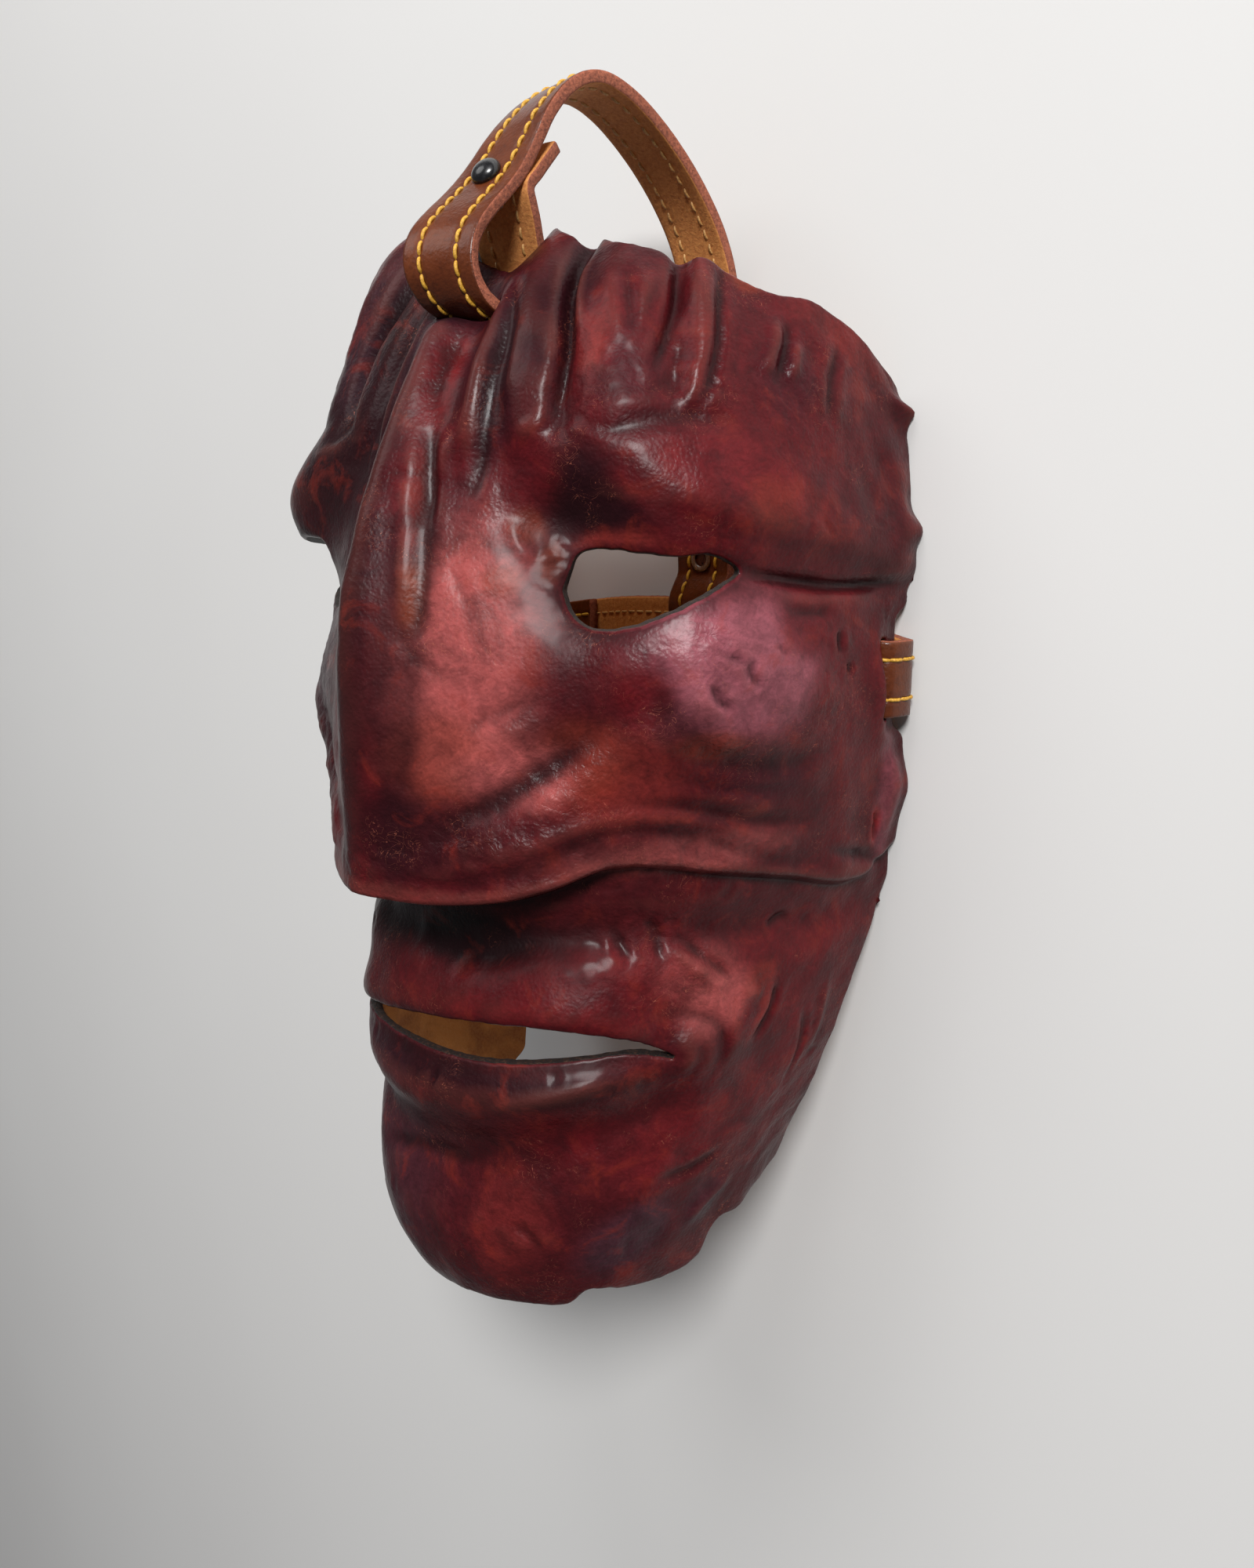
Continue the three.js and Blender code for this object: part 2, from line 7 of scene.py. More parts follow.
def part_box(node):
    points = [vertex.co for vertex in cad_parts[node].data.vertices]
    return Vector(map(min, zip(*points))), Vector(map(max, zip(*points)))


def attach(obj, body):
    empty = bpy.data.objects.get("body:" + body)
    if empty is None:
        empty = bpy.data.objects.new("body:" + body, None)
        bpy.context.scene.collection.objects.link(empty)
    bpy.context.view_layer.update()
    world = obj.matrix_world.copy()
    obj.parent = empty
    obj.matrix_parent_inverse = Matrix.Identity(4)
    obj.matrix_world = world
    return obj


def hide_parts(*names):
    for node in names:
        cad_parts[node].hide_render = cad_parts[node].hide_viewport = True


# A carnival mask of moulded leather, dyed by hand, with riveted and stitched straps.
# Sizes are millimetres in the mask's own frame: x to the viewer's right, y to the brow,
# z out of the face. toScene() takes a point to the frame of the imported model.
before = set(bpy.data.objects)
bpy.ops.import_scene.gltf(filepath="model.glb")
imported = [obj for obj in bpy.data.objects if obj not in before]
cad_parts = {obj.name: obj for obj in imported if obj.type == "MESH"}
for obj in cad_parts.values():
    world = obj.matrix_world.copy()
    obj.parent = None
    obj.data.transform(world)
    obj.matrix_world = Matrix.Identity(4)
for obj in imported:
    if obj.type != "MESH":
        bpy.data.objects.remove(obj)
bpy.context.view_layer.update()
mm = 0.001
lowCap, highCap = (np.array(corner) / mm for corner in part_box("rear_rivet_cap"))
shift = np.array([*((lowCap + highCap) / 2)[:2], lowCap[2]]) - (7.8, 65.5, 0.3)


def toScene(points):
    return (np.asarray(points, float) + shift) * mm


leather = {"thickness": 3.0, "halfGirth": 150.0}

# The moulded sheet, in millimetres: (girth from the nose line, height from the middle).
sections = np.array([
    # at, half width of rim, rim y, rim z, depth on nose line, squareness
    [-146, 56, -104, 30, 89, 2.6], [-128, 59, -90, 26, 101, 2.6], [-100, 63, -74, 20, 105, 2.5],
    [-60, 67.5, -48, 11, 105, 2.5], [-32, 70, -25, 1.1, 104, 2.6], [-10, 71, -6, 0, 103, 2.6],
    [20, 72, 20, 0, 104, 2.6], [60, 73, 52, 0, 104, 2.6], [100, 72, 82, 0, 97, 2.6],
    [128, 70, 100, 0, 83, 2.4], [150, 69, 110, 3, 60, 2.25]], float)
rimNotch = {"from": 19, "to": 65, "run": 6, "lift": 5.2, "reach": 24}
browTrim = [[-150, 150], [-90, 148], [-57, 144], [-48, 146], [-36, 146.5], [-27, 145],
            [-22, 145.5], [-17.5, 140], [-6, 138], [6.4, 138.2], [8.2, 144.8], [10, 146.4], [13, 145.6],
            [17, 143.9], [21, 143.2], [24, 142.7], [26, 141.5], [27.5, 143.6], [30, 145.2], [34, 143.1],
            [40, 141.1], [46, 140.7], [52, 141], [55, 140.4], [56.5, 139.8], [58.5, 142.2], [62, 142.2],
            [70, 143], [80, 143], [88, 143.4], [94, 145.4], [100, 147.4], [110, 148.6], [118, 149.8],
            [150, 150]]
chinTrim = [[-150, -144], [-60, -145], [-25, -140], [-10, -134.5], [0, -131.5], [14, -128.5],
            [30, -128.6], [46, -131.5], [51, -128], [55, -129], [64, -134], [84, -140], [96, -141.5],
            [101, -136.5], [106, -135], [118, -139], [130, -138], [150, -141]]
foldLine = [[-160, -18], [-125, -20], [-92, -12], [-57, -5], [-40, -8], [-26, -12], [-10, -14.5],
            [8, -14.5], [20, -13], [30, -11], [38, -8], [48, -4], [57, -4], [71, -7.5], [92, -12.5],
            [125, -20.5], [152, -14]]
# Across the fold: where the jaw turns into the cheeks, how far up its depth fades, and its lip.
foldSides = {"from": -2, "to": 2.5, "fade": 22, "overhang": 0.35, "lipAt": 1.5, "lipTall": 5}
foldDepth = [[-160, 2], [-125, 4], [-57, 3], [-18, 6], [0, 5], [18, 7], [38, 6.5], [55, 3.8],
             [92, 3.4], [125, 3.2], [150, 2.2]]
noseSpine = [[-40, 0, 8, 8, 2], [-12, 0, 9, 9, 4], [-4, 0, 9, 9, 5.2], [24, 0, 9, 9, 6],
             [61, -1, 8, 8, 7.6], [108, -3, 6.5, 7, 8], [119, -3.5, 6, 7, 7.5], [127, -4, 6, 7, 0]]
noseBody = [[-40, 0, 30, 30, 14], [0, 0, 35, 35, 16], [24, 0, 31, 31, 16.5],
            [50, 0, 26, 26, 15], [75, 0, 20, 20, 9], [95, 0, 15, 15, 4], [115, 0, 14, 14, 0]]
browRidge = [[26, 84, 8, 8, 0], [38, 88, 13, 11, 2], [50, 88, 20, 13, 4], [63, 86, 22, 13, 5.5],
             [80, 84.5, 22, 14, 6.2], [100, 83, 18, 12, 5], [152, 77, 12, 8, 2]]
eyeCrease = [[60, 70, 5, 5, 0], [74, 69, 5, 5, -1.8], [92, 68, 5, 4.5, -2.2], [150, 69, 5, 5, -1]]
noseCrease = [[40, 58, 7, 8, 0], [31, 49, 7, 8, -1], [19, 36, 7, 8, -1.4], [8, 23, 7, 8, -1.2],
              [-2, 10, 5, 5, -0.3]]
noseFold = [[44, 68, 8, 7, 0], [32, 60, 14, 11, 1.4], [18, 48, 16, 11, 1.7], [5, 34, 16, 10, 1.4],
            [-6, 20, 10, 6, 0.5]]
upperLip = [[-48, -58, 5, 5, 0], [-30, -53, 8, 6, 3], [0, -47, 8, 5, 3], [29, -44, 8, 5, 3],
            [50, -46, 8, 5, 3], [72, -56, 5, 5, 0]]
lowerLip = [[-58, -66, 6, 7, 0], [-12, -69, 8, 11, 5.4], [10, -68, 8, 11, 5.2],
            [40, -65, 7, 10, 4.4], [58, -63, 6, 9, 3], [76, -62, 6, 6, 0]]
lipCrease = [[0, -90, 8, 10, -2.8], [20, -86, 8, 10, -2.6], [45, -80, 8, 9, -2], [85, -72, 6, 6, 0]]
shadeHollow = [[0, -31, 9, 6, -3], [20, -29, 8, 6, -4], [38, -24, 8, 6, -4], [150, -34, 6, 6, -1]]
pleats = [
    [[84, 16, 6, 6, 0], [96, 16, 5, 5, 2], [114, 14, 4.5, 4.5, 3], [134, 12, 4, 4, 1]],
    [[84, 24, 3, 4, 0], [100, 22, 2.6, 3, -1.6], [119, 19, 2.6, 2.6, -1.8], [134, 13, 3, 3, -0.8]],
    [[90, 30, 6, 8, 0], [101, 28, 7, 8, 2.4], [116, 26, 7.5, 9, 2.8], [130, 20, 8, 11, 3.2],
     [152, 17, 9, 12, 3.4]],
    [[94, 37, 3, 3, 0], [101, 37, 2.6, 2.8, -2], [116, 36, 2.4, 2.4, -2.6], [130, 31, 2.4, 2.4, -2.8],
     [152, 27, 2.4, 2.4, -2.6]],
    [[96, 46, 9, 6, 0], [106, 46, 10, 7, 2.2], [121, 45, 11, 8, 3], [152, 42, 13, 10, 3]],
    [[104, 60, 3, 3, 0], [112, 61, 2.8, 2.8, -1.6], [127, 61, 2.6, 2.6, -2.2], [152, 57, 2.6, 2.6, -2]],
    [[104, 66, 5, 4, 0], [112, 66, 5, 4, 1.8], [128, 65.5, 5.5, 4, 2.6], [152, 62.5, 5.5, 4, 2.2]],
]
# Swells of the sheet: [girth, height, wide, tall, rise]. The heavy brow and the lump are on one side.
heavyBrow = [[-55, 76, 27, 20, 21], [-64, 112, 30, 26, 14], [-58, 22, 26, 22, 9]]
cheekForms = [[76, 45, 28, 23, 10], [100, 20, 34, 26, 5], [40, 78, 13, 11, -5.5], [46, 62, 14, 12, -4.5]]
chinForms = [[0, -50, 52, 30, 4], [0, -114, 46, 22, 6]]
jowlForms = [[84, -60, 12, 16, 3.5]]
topForms = [[98, 122, 26, 22, 3], [45, 128, 30, 24, 2]]
topLump = [[-42, 144, 22, 18, 10]]
# Holes: [girth, lower edge, upper edge].
eyeHole = [[39, 61.5, 62.5], [41.5, 56, 70], [45, 53.5, 71.8], [50, 53, 72.2], [57, 55, 71.6],
           [64, 59, 71.4], [70, 63, 72.6], [75, 66.5, 71.2], [78, 68.6, 69.4]]
mouthHole = [[-50, -60.3, -59.8], [-30, -60, -56], [-10, -59, -52], [10, -58.5, -48.5],
             [32, -57, -46.5], [45, -56, -48], [59, -55.6, -52], [71, -58.8, -58.2]]


def along(table, x, column=1):
    # smooth curve through the rows of a table, read at x in its first column
    t = np.asarray(table, float)
    xs, ys = t[:, 0], t[:, column]
    at = np.clip(x, xs[0], xs[-1])
    i = np.clip(np.searchsorted(xs, at, side="right") - 1, 0, len(xs) - 2)
    slope = np.empty_like(ys)
    slope[1:-1] = (ys[2:] - ys[:-2]) / (xs[2:] - xs[:-2])
    slope[0] = (ys[1] - ys[0]) / (xs[1] - xs[0])
    slope[-1] = (ys[-1] - ys[-2]) / (xs[-1] - xs[-2])
    step = xs[i + 1] - xs[i]
    f = (at - xs[i]) / step
    return ((1 + 2 * f) * (1 - f) ** 2 * ys[i] + f * (1 - f) ** 2 * step * slope[i]
            + f * f * (3 - 2 * f) * ys[i + 1] + f * f * (f - 1) * step * slope[i + 1])


def ramp(x, low, high):
    f = np.clip((x - low) / (high - low), 0, 1)
    return f * f * (3 - 2 * f)


def plain(girth, height):
    angle = girth / leather["halfGirth"] * np.pi / 2
    side, front = np.sin(angle), np.maximum(np.cos(angle), 0)
    half, rimY, rimZ, noseZ, square = (along(sections, height, k) for k in (1, 2, 3, 4, 5))
    reachY, reachZ = height - rimY, noseZ - rimZ
    reach = np.hypot(reachY, reachZ)
    radius = ((np.abs(side) / half) ** square + (front / reach) ** square) ** (-1 / square)
    return np.stack([radius * side, rimY + radius * front * reachY / reach,
                     rimZ + radius * front * reachZ / reach], -1)


def outward(girth, height):
    across = plain(girth + 0.5, height) - plain(girth - 0.5, height)
    up = plain(girth, height + 0.5) - plain(girth, height - 0.5)
    n = np.cross(across, up)
    return n / np.linalg.norm(n, axis=-1, keepdims=True)


def ridge(rows, place, across):
    rows = np.asarray(sorted(rows, key=lambda r: r[0]), float)
    off = across - along(rows, place, 1)
    width = np.where(off > 0, along(rows, place, 2), along(rows, place, 3))
    inside = (place > rows[0, 0]) & (place < rows[-1, 0])
    return np.where(inside, along(rows, place, 4) * np.exp(-((off / width) ** 2)), 0)


def swell(girth, height, atGirth, atHeight, wide, tall, rise):
    return rise * np.exp(-((girth - atGirth) / wide) ** 2 - ((height - atHeight) / tall) ** 2)


def swells(rows, girth, height):
    return sum(swell(girth, height, *row) for row in rows)


def mainRelief(girth, height):
    # the main forms: cheeks and brow above the fold, the jaw below it, and the pleats over both
    m = np.abs(girth)
    fold = along(foldLine, girth)
    above = ramp(height - fold, foldSides["from"], foldSides["to"])
    cheeks = ridge(noseSpine, height, girth)
    for rows in (noseBody, noseCrease, noseFold):
        cheeks = cheeks + ridge(rows, height, m)
    cheeks += ridge(browRidge, m, height) + ridge(eyeCrease, m, height)
    for row in heavyBrow:
        cheeks += swell(girth, height, *row)
    for row in cheekForms:
        cheeks += swell(m, height, *row)
    cheeks += along(foldDepth, girth) * np.exp(-np.maximum(height - fold, 0) / foldSides["fade"])
    jaw = ridge(upperLip, girth, height) + ridge(lowerLip, girth, height)
    jaw += ridge(lipCrease, m, height) + ridge(shadeHollow, m, height)
    jaw += swells(chinForms, girth, height)
    jaw += swells(jowlForms, m, height)
    total = cheeks * above + jaw * (1 - above)
    for rows in pleats:
        total += ridge(rows, height, m)
    total += swells(topForms, m, height)
    total += swells(topLump, girth, height)
    return total


def surface(girth, height, lift):
    point = plain(girth, height) + outward(girth, height) * np.asarray(lift)[..., None]
    fold = along(foldLine, girth)
    lip = (height - fold - foldSides["lipAt"]) / foldSides["lipTall"]
    point[..., 1] -= along(foldDepth, girth) * foldSides["overhang"] * np.exp(-lip ** 2)
    n = rimNotch
    notch = ramp(height, n["from"], n["from"] + n["run"]) * (1 - ramp(height, n["to"] - n["run"], n["to"]))
    point[..., 2] += n["lift"] * notch * ramp(np.abs(girth), leather["halfGirth"] - n["reach"],
                                              leather["halfGirth"])
    return point


# What the solids leave to this model: swells of the rim and face, [girth, height, wide, tall, rise].
forms = [[133, 36, 8, 15, 3.0], [-50, 137, 16, 12, 4.0], [-62, 105, 16, 12, -2.5],
         [150, 134, 9, 5, 3.2], [150, 89, 9, 5, 3.2], [150, 4, 13, 9, 3.2], [141, 96, 7, 22, 1.5],
         [74, -57, 7, 9, 2.0], [-74, -60, 7, 9, 2.0], [-150, 120, 12, 8, 2.4],
         [-150, 70, 10, 6, 2.0], [-150, -30, 12, 12, 2.2], [-60, 30, 22, 26, 5.0],
         [60, -108, 26, 18, 1.6], [-46, -100, 24, 18, 1.4], [112, -70, 26, 30, 1.8],
         [-110, -66, 26, 30, 1.6]]

# Fine folds as lines over the sheet: [rise, width, [girth, height], ...]. A rise below zero is
# a crease, with its two lips beside it.
folds = [
    [-1.0, 2.0, [1, 122], [2.5, 111], [4.5, 100]],
    [1.2, 1.6, [3.2, 99], [4.5, 92], [6, 83], [7.3, 76], [8.8, 66], [10, 58], [11, 51]],
    [-1.3, 2.0, [5.5, 98], [7.2, 90], [8.8, 82], [10, 74]],
    [-0.7, 1.8, [7.6, 88], [10, 76], [12, 65], [13, 55], [13.5, 46]],
    [0.4, 1.5, [9, 98], [10, 91], [11.3, 84], [12.8, 77], [14, 70]],
    [0.9, 3.4, [12, 120], [15.5, 110], [15, 101], [11, 93], [8, 85]],
    [-1.1, 1.7, [17, 124], [18, 111], [19, 98], [19, 88], [18, 78]],
    [0.9, 2.0, [21.5, 122], [23, 112], [23.5, 102]],
    [0.9, 1.8, [34, 105], [32.5, 99.5], [26.5, 96]],
    [-1.5, 1.4, [26, 144], [30, 132], [34.5, 118], [35.5, 107], [34, 98]],
    [0.8, 1.8, [32.5, 141], [33.5, 131], [37.5, 119]],
    [0.6, 2.2, [41, 133], [44, 126], [48, 117]],
    [-0.6, 1.6, [45, 135], [48, 127], [51.5, 118]],
    [0.9, 2.2, [52, 136], [51.5, 126], [50, 115]],
    [-1.3, 1.5, [56, 143], [58.5, 132], [57.5, 121], [55, 110]],
    [0.7, 2.2, [64, 141], [63, 133], [62.5, 124], [61, 114]],
    [-1.3, 1.5, [70, 145], [70, 132], [70, 123], [68, 111], [65, 104]],
    [0.8, 2.4, [53, 111], [57, 112]],
    [0.8, 2.2, [60, 116], [65, 114]],
    [1.0, 2.2, [88, 136], [86, 127], [82, 118]],
    [-1.2, 1.8, [92, 138], [89.5, 128], [86, 117]],
    [0.8, 2.0, [94, 132], [91, 121]],
    [-0.9, 1.8, [112, 140], [106, 126], [104, 112]],
    [-0.6, 2.4, [38, 103], [47, 98.5], [55, 101], [63, 103.5], [76, 106]],
    [0.6, 1.6, [37, 99.5], [44, 97], [50, 95.5]],
    [-0.5, 3.0, [44, 95], [52, 89], [58, 84.5], [66, 80], [80, 77.5], [98, 76.5], [124, 75]],
    [-1.3, 1.5, [74, 70.5], [82, 68.5], [96, 67.5], [112, 67.5], [132, 69.5], [146, 71]],
    [0.8, 3.0, [80, 64.5], [94, 63.5], [112, 63.5], [134, 65]],
    [-0.7, 1.4, [88, 60], [100, 59.5], [108, 60.5]],
    [-0.4, 2.6, [46, 29], [41, 23.5], [35, 17.5], [28, 12.5], [22, 7.5], [15, 0]],
    [0.8, 3.2, [38, 34], [32, 29.5], [26, 24], [20, 18], [15, 12]],
    [-0.35, 2.0, [34, 36], [28, 33], [22, 28]],
    [-0.7, 3.4, [60, 53], [60, 44], [61, 35], [65, 29], [71, 23.5], [79, 20.5], [92, 20], [108, 22]],
    [0.5, 3.4, [64.5, 50], [64.5, 41], [67, 34], [72, 29], [80, 26], [92, 25.5]],
    [-1.0, 1.1, [78, 48.5], [76.5, 44.5], [80, 40.5]],
    [-1.0, 1.1, [68.5, 42.5], [69.5, 38.5], [73, 35]],
    [-0.8, 1.0, [71, 49.5], [76, 46.5]],
    [-0.7, 1.0, [84, 52], [87, 48]],
    [-1.2, 1.6, [110, 55], [110.5, 48]],
    [-1.0, 1.5, [114, 46], [115, 42]],
    [-0.7, 1.8, [14, -9], [24, -6], [36, -1.5], [43, 2.5], [50, 5], [58, 4.5], [67, 2], [77, -2], [92, -7.5],
     [112, -12]],
    [0.6, 2.2, [20, -4.5], [32, 0.5], [42, 5.5], [51, 8], [60, 7.5], [70, 5], [82, 1], [98, -3.5]],
    [-0.5, 1.6, [26, -7], [38, -3.5], [46, 0.5], [54, 1.5], [64, 0], [75, -4.5], [88, -9.5]],
    [0.4, 1.8, [40, -2], [49, 3.2], [57, 3], [66, 0.8], [77, -3.6]],
    [-0.5, 1.4, [43, -5.5], [50, -1.5], [57, -1.5], [67, -4.5]],
    [-0.5, 1.8, [50, 11.5], [60, 11], [72, 8], [86, 4], [104, 1.5]],
    [0.4, 2.2, [54, 14.5], [66, 13], [80, 9], [96, 6.5]],
    [-0.35, 1.5, [62, 17], [78, 13.5], [94, 12]],
    [1.3, 3.4, [141, 18], [141.5, 4], [140.5, -13]],
    [-1.5, 1.3, [134, -1.5], [134.5, -6], [135.5, -11]],
    [-0.9, 1.5, [107, -8], [118, -11], [131, -14.5], [146, -20]],
    [0.7, 2.0, [108, -12.5], [122, -17], [138, -22]],
    [0.8, 3.0, [-3, -24], [-3, -31], [-4, -39]],
    [0.6, 3.0, [36, -12], [36.5, -18], [38, -25]],
    [-0.4, 2.0, [14, -24], [14, -32], [12, -40]],
    [0.9, 2.4, [24, -68.5], [34, -66.5], [44, -63.5], [57, -61]],
    [-0.4, 0.9, [41, -57.5], [42, -62]],
    [-0.8, 1.1, [10, -62], [9, -67]],
    [-0.8, 2.0, [-30, -99], [-18, -94.5], [-6, -91.5], [10, -89.5], [24, -87.5]],
    [-0.9, 2.0, [65, -45.5], [74, -48], [81, -52], [84, -59], [82.5, -67]],
    [0.9, 2.0, [69, -52], [74, -57.5], [74, -64]],
    [-0.8, 1.3, [49, -21], [51.5, -26], [54.5, -31]],
    [-0.8, 1.3, [58, -19], [60.5, -26], [62, -34]],
    [0.8, 1.6, [63, -28], [69, -33], [75, -38]],
    [-0.9, 1.3, [66, -27.5], [74, -34], [82, -40.5]],
    [0.7, 1.5, [68, -34], [75, -39], [82, -43]],
    [-1.0, 1.4, [93, -30], [97, -27.5], [101, -29]],
    [0.8, 1.8, [86, -42], [90, -46], [96, -47]],
    [-0.9, 1.6, [100, -44], [101.5, -54], [96, -63]],
    [1.0, 3.2, [84, -122], [94, -119], [106, -117]],
    [-0.8, 1.8, [70, -98], [82, -101], [96, -100]],
    [-0.7, 1.5, [30, -103], [36, -106], [40, -112]],
    [-0.8, 1.6, [118, -58], [124, -72], [122, -88]],
    [0.8, 2.4, [128, -50], [132, -66], [130, -84]],
    [-0.3, 1.1, [9, 52], [13, 45], [20, 40]],
    [-0.3, 1.1, [16, 66], [20, 60], [22, 54]],
    [0.6, 1.6, [27, 78], [29, 72], [33, 68]],
    [-1.0, 1.8, [-16, 124], [-18, 110], [-18, 96], [-14, 84]],
    [-1.4, 1.8, [-30, 140], [-34, 124], [-36, 108], [-32, 96]],
    [-1.3, 1.8, [-52, 142], [-56, 126], [-54, 112]],
]
# The other side has the same kinds of folds, each a little elsewhere.
mirrored = [row for row in folds if min(p[0] for p in row[2:]) > 34]

# Patches of small crinkles: [girth, height, wide, tall, rise].
crinkles = [[38, 18, 10, 8, 0.5], [26, 3, 11, 6, 0.45], [68, -4, 26, 5, 0.45], [72, 26, 8, 4, 0.6],
            [70, 54, 5, 6, 0.45], [58, -27, 12, 9, 0.45], [72, -36, 9, 8, 0.45], [6, -8, 12, 6, 0.4],
            [37, 68, 4, 7, 0.5], [104, 40, 10, 14, 0.25], [96, 118, 16, 14, 0.25], [20, -100, 26, 18, 0.25],
            [-40, 10, 24, 18, 0.35], [-70, -30, 24, 14, 0.35], [-60, 118, 20, 16, 0.3],
            [90, -48, 10, 9, 0.35], [44, 112, 9, 12, 0.3], [-64, 40, 20, 16, 0.3]]


def foldPath(points, step=1.3):
    # smooth line through a few points: its own points, about a step apart, and the share done
    rows = np.asarray(points, float)
    done = np.concatenate([[0], np.cumsum(np.hypot(*np.diff(rows, axis=0).T))])
    table = np.column_stack([done, rows])
    at = np.linspace(0, done[-1], max(int(done[-1] / step), 4))
    return np.column_stack([along(table, at, 1), along(table, at, 2)])


def nearPath(path, girth, height, reach):
    # which points lie near the line, how far off they are and the share of the line done there
    low, high = path.min(0) - reach, path.max(0) + reach
    near = np.nonzero((girth > low[0]) & (girth < high[0]) & (height > low[1]) & (height < high[1]))[0]
    if len(near) == 0:
        return near, near, near
    a, b = path[:-1], path[1:]
    run = b - a
    spot = np.column_stack([girth[near], height[near]])
    toSpot = spot[:, None] - a[None]
    share = np.clip((toSpot * run).sum(-1) / (run * run).sum(-1), 0, 1)
    off = np.hypot(*(toSpot - share[..., None] * run).transpose(2, 0, 1))
    best = off.argmin(1)
    rows = np.arange(len(near))
    return near, off[rows, best], (best + share[rows, best]) / len(run)


# Noise over the sheet, in layers: (strength, size, seed).
smallNoise = ((1, 2.4, 3.7), (0.5, 1.3, 9.1))
broadNoise = ((0.45, 9, 21.5), (0.7, 26, 5.2))
dyeNoise = ((0.55, 17, 31), (0.35, 6, 47), (0.18, 2.6, 63))


def noiseLayers(girth, height, layers):
    total = 0
    for strength, size, seed in layers:
        values = [noise.noise(Vector((g / size, h / size, seed))) for g, h in zip(girth, height)]
        total = total + strength * np.array(values)
    return total


# Short stray creases all over, and how far the mirrored folds are shifted.
stray = {"seed": 11, "count": 130, "low": (-140, -125), "high": (140, 135), "rise": (0.12, 0.4),
         "width": (0.9, 1.5), "length": (3, 9), "bend": 0.5, "shift": 3.5}


def allFolds():
    lines = [(row[0], row[1], np.array(row[2:], float)) for row in folds]
    shake = np.random.default_rng(stray["seed"])
    for row in mirrored:
        path = np.array(row[2:], float)
        path[:, 0] = -path[:, 0] * shake.uniform(0.93, 1.04)
        lines.append((row[0] * shake.uniform(0.7, 1.1), row[1] * shake.uniform(1, 1.3),
                      path + shake.uniform(-stray["shift"], stray["shift"], 2)))
    for _ in range(stray["count"]):
        spot = shake.uniform(stray["low"], stray["high"])
        quiet = 1 - 0.8 * swell(*spot, 20, 42, 22, 40, 1)        # shallower beside the nose ridge
        turn, size = shake.uniform(0, 2 * np.pi), shake.uniform(*stray["length"])
        bend = shake.uniform(-stray["bend"], stray["bend"])
        ends = [spot + size * np.array([np.cos(turn + b), np.sin(turn + b)]) * s
                for b, s in ((0, -0.5), (bend, 0), (2 * bend, 0.5))]
        rise = -shake.uniform(*stray["rise"]) * quiet
        lines.append((rise, shake.uniform(*stray["width"]), np.array(ends)))
    return lines


foldLines = allFolds()


def formRelief(girth, height):
    total = mainRelief(girth, height)
    for row in forms:
        total = total + swell(girth, height, *row)
    return total


# In widths of a fold: how far it is felt, how far off a crease's lips are and how wide its bottom
# is drawn in painted shade. Then the lips' share of the depth, the share of the line over which
# both ends fade, and the crinkles' least and strength.
foldShape = {"reach": 3.2, "lipAt": 1.9, "bottom": 0.8, "lip": 0.35, "fade": 0.3, "least": 0.07,
             "strength": 0.9}


def fineRelief(girth, height):
    # the fine folds and crinkles, how deep in a crease each point lies for its painted shade, and how rough
    # it is there
    girth, height = np.ravel(girth), np.ravel(height)
    total, creaseShade = np.zeros(len(girth)), np.zeros(len(girth))
    for rise, width, points in foldLines:
        near, off, share = nearPath(foldPath(points), girth, height, foldShape["reach"] * width)
        if len(near) == 0:
            continue
        fade = rise
        for done in (share, 1 - share):
            fade = fade * ramp(done, -0.05, foldShape["fade"])
        total[near] += fade * np.exp(-((off / width) ** 2))
        if rise < 0:
            lipOff = off - foldShape["lipAt"] * width
            total[near] -= foldShape["lip"] * fade * np.exp(-((lipOff / width) ** 2))
            # the bottom of a crease, to be darkened as painted shade
            creaseShade[near] -= fade * np.exp(-((off / (foldShape["bottom"] * width)) ** 2))
    small = noiseLayers(girth, height, smallNoise)
    rough = foldShape["least"] + swells(crinkles, girth, height)
    total += small * rough * foldShape["strength"]
    total += noiseLayers(girth, height, broadNoise)
    return total, creaseShade, rough


def outerLift(girth, height):
    return formRelief(girth, height) + fineRelief(girth, height)[0]


# The lining takes the lowest form around each point, less the thickness of the leather.
lining = {"girths": (-4, 0, 4), "heights": (-10, -6, -3, 0, 3, 6, 10)}


def innerLift(girth, height):
    near = [(g, h) for g in lining["girths"] for h in lining["heights"]]
    least = np.min([formRelief(girth + g, height + h) for g, h in near], axis=0)
    return least - leather["thickness"]


# Edges of the sheet: closed loops of (girth, height), each with the leather on its left.
cut = {"step": 0.25, "spacing": 1.15, "rounds": 60, "ragged": 0.22, "holeStations": 160, "holeStep": 0.4,
       "holeSpacing": 0.95, "holeRounds": 12}
slots = {"width": 21.0, "height": 4.4, "corner": 1.4, "brow": (0, 125.2, 82.5),
         "browTurn": (1.12, 0, -0.1), "side": (72, 36, 12.2), "points": 56}
# Newton's steps to a point on the sheet.
search = {"rounds": 9, "step": 0.3, "most": 3}


def runAlong(points):
    # how far along a line each of its points lies
    return np.concatenate([[0], np.cumsum(np.linalg.norm(np.diff(points, axis=0), axis=1))])


def readAt(at, run, rows):
    return np.column_stack([np.interp(at, run, column) for column in np.asarray(rows).T])


def evenly(loop, spacing):
    # the closed loop again, at even steps over the moulded face
    closed = np.vstack([loop, loop[:1]])
    place = surface(closed[:, 0], closed[:, 1], formRelief(closed[:, 0], closed[:, 1]))
    run = runAlong(place)
    return readAt(np.linspace(0, run[-1], int(run[-1] / spacing), endpoint=False), run, closed)


def softened(loop, rounds):
    for _ in range(rounds):
        loop = (np.roll(loop, 1, 0) + 2 * loop + np.roll(loop, -1, 0)) / 4
    return loop


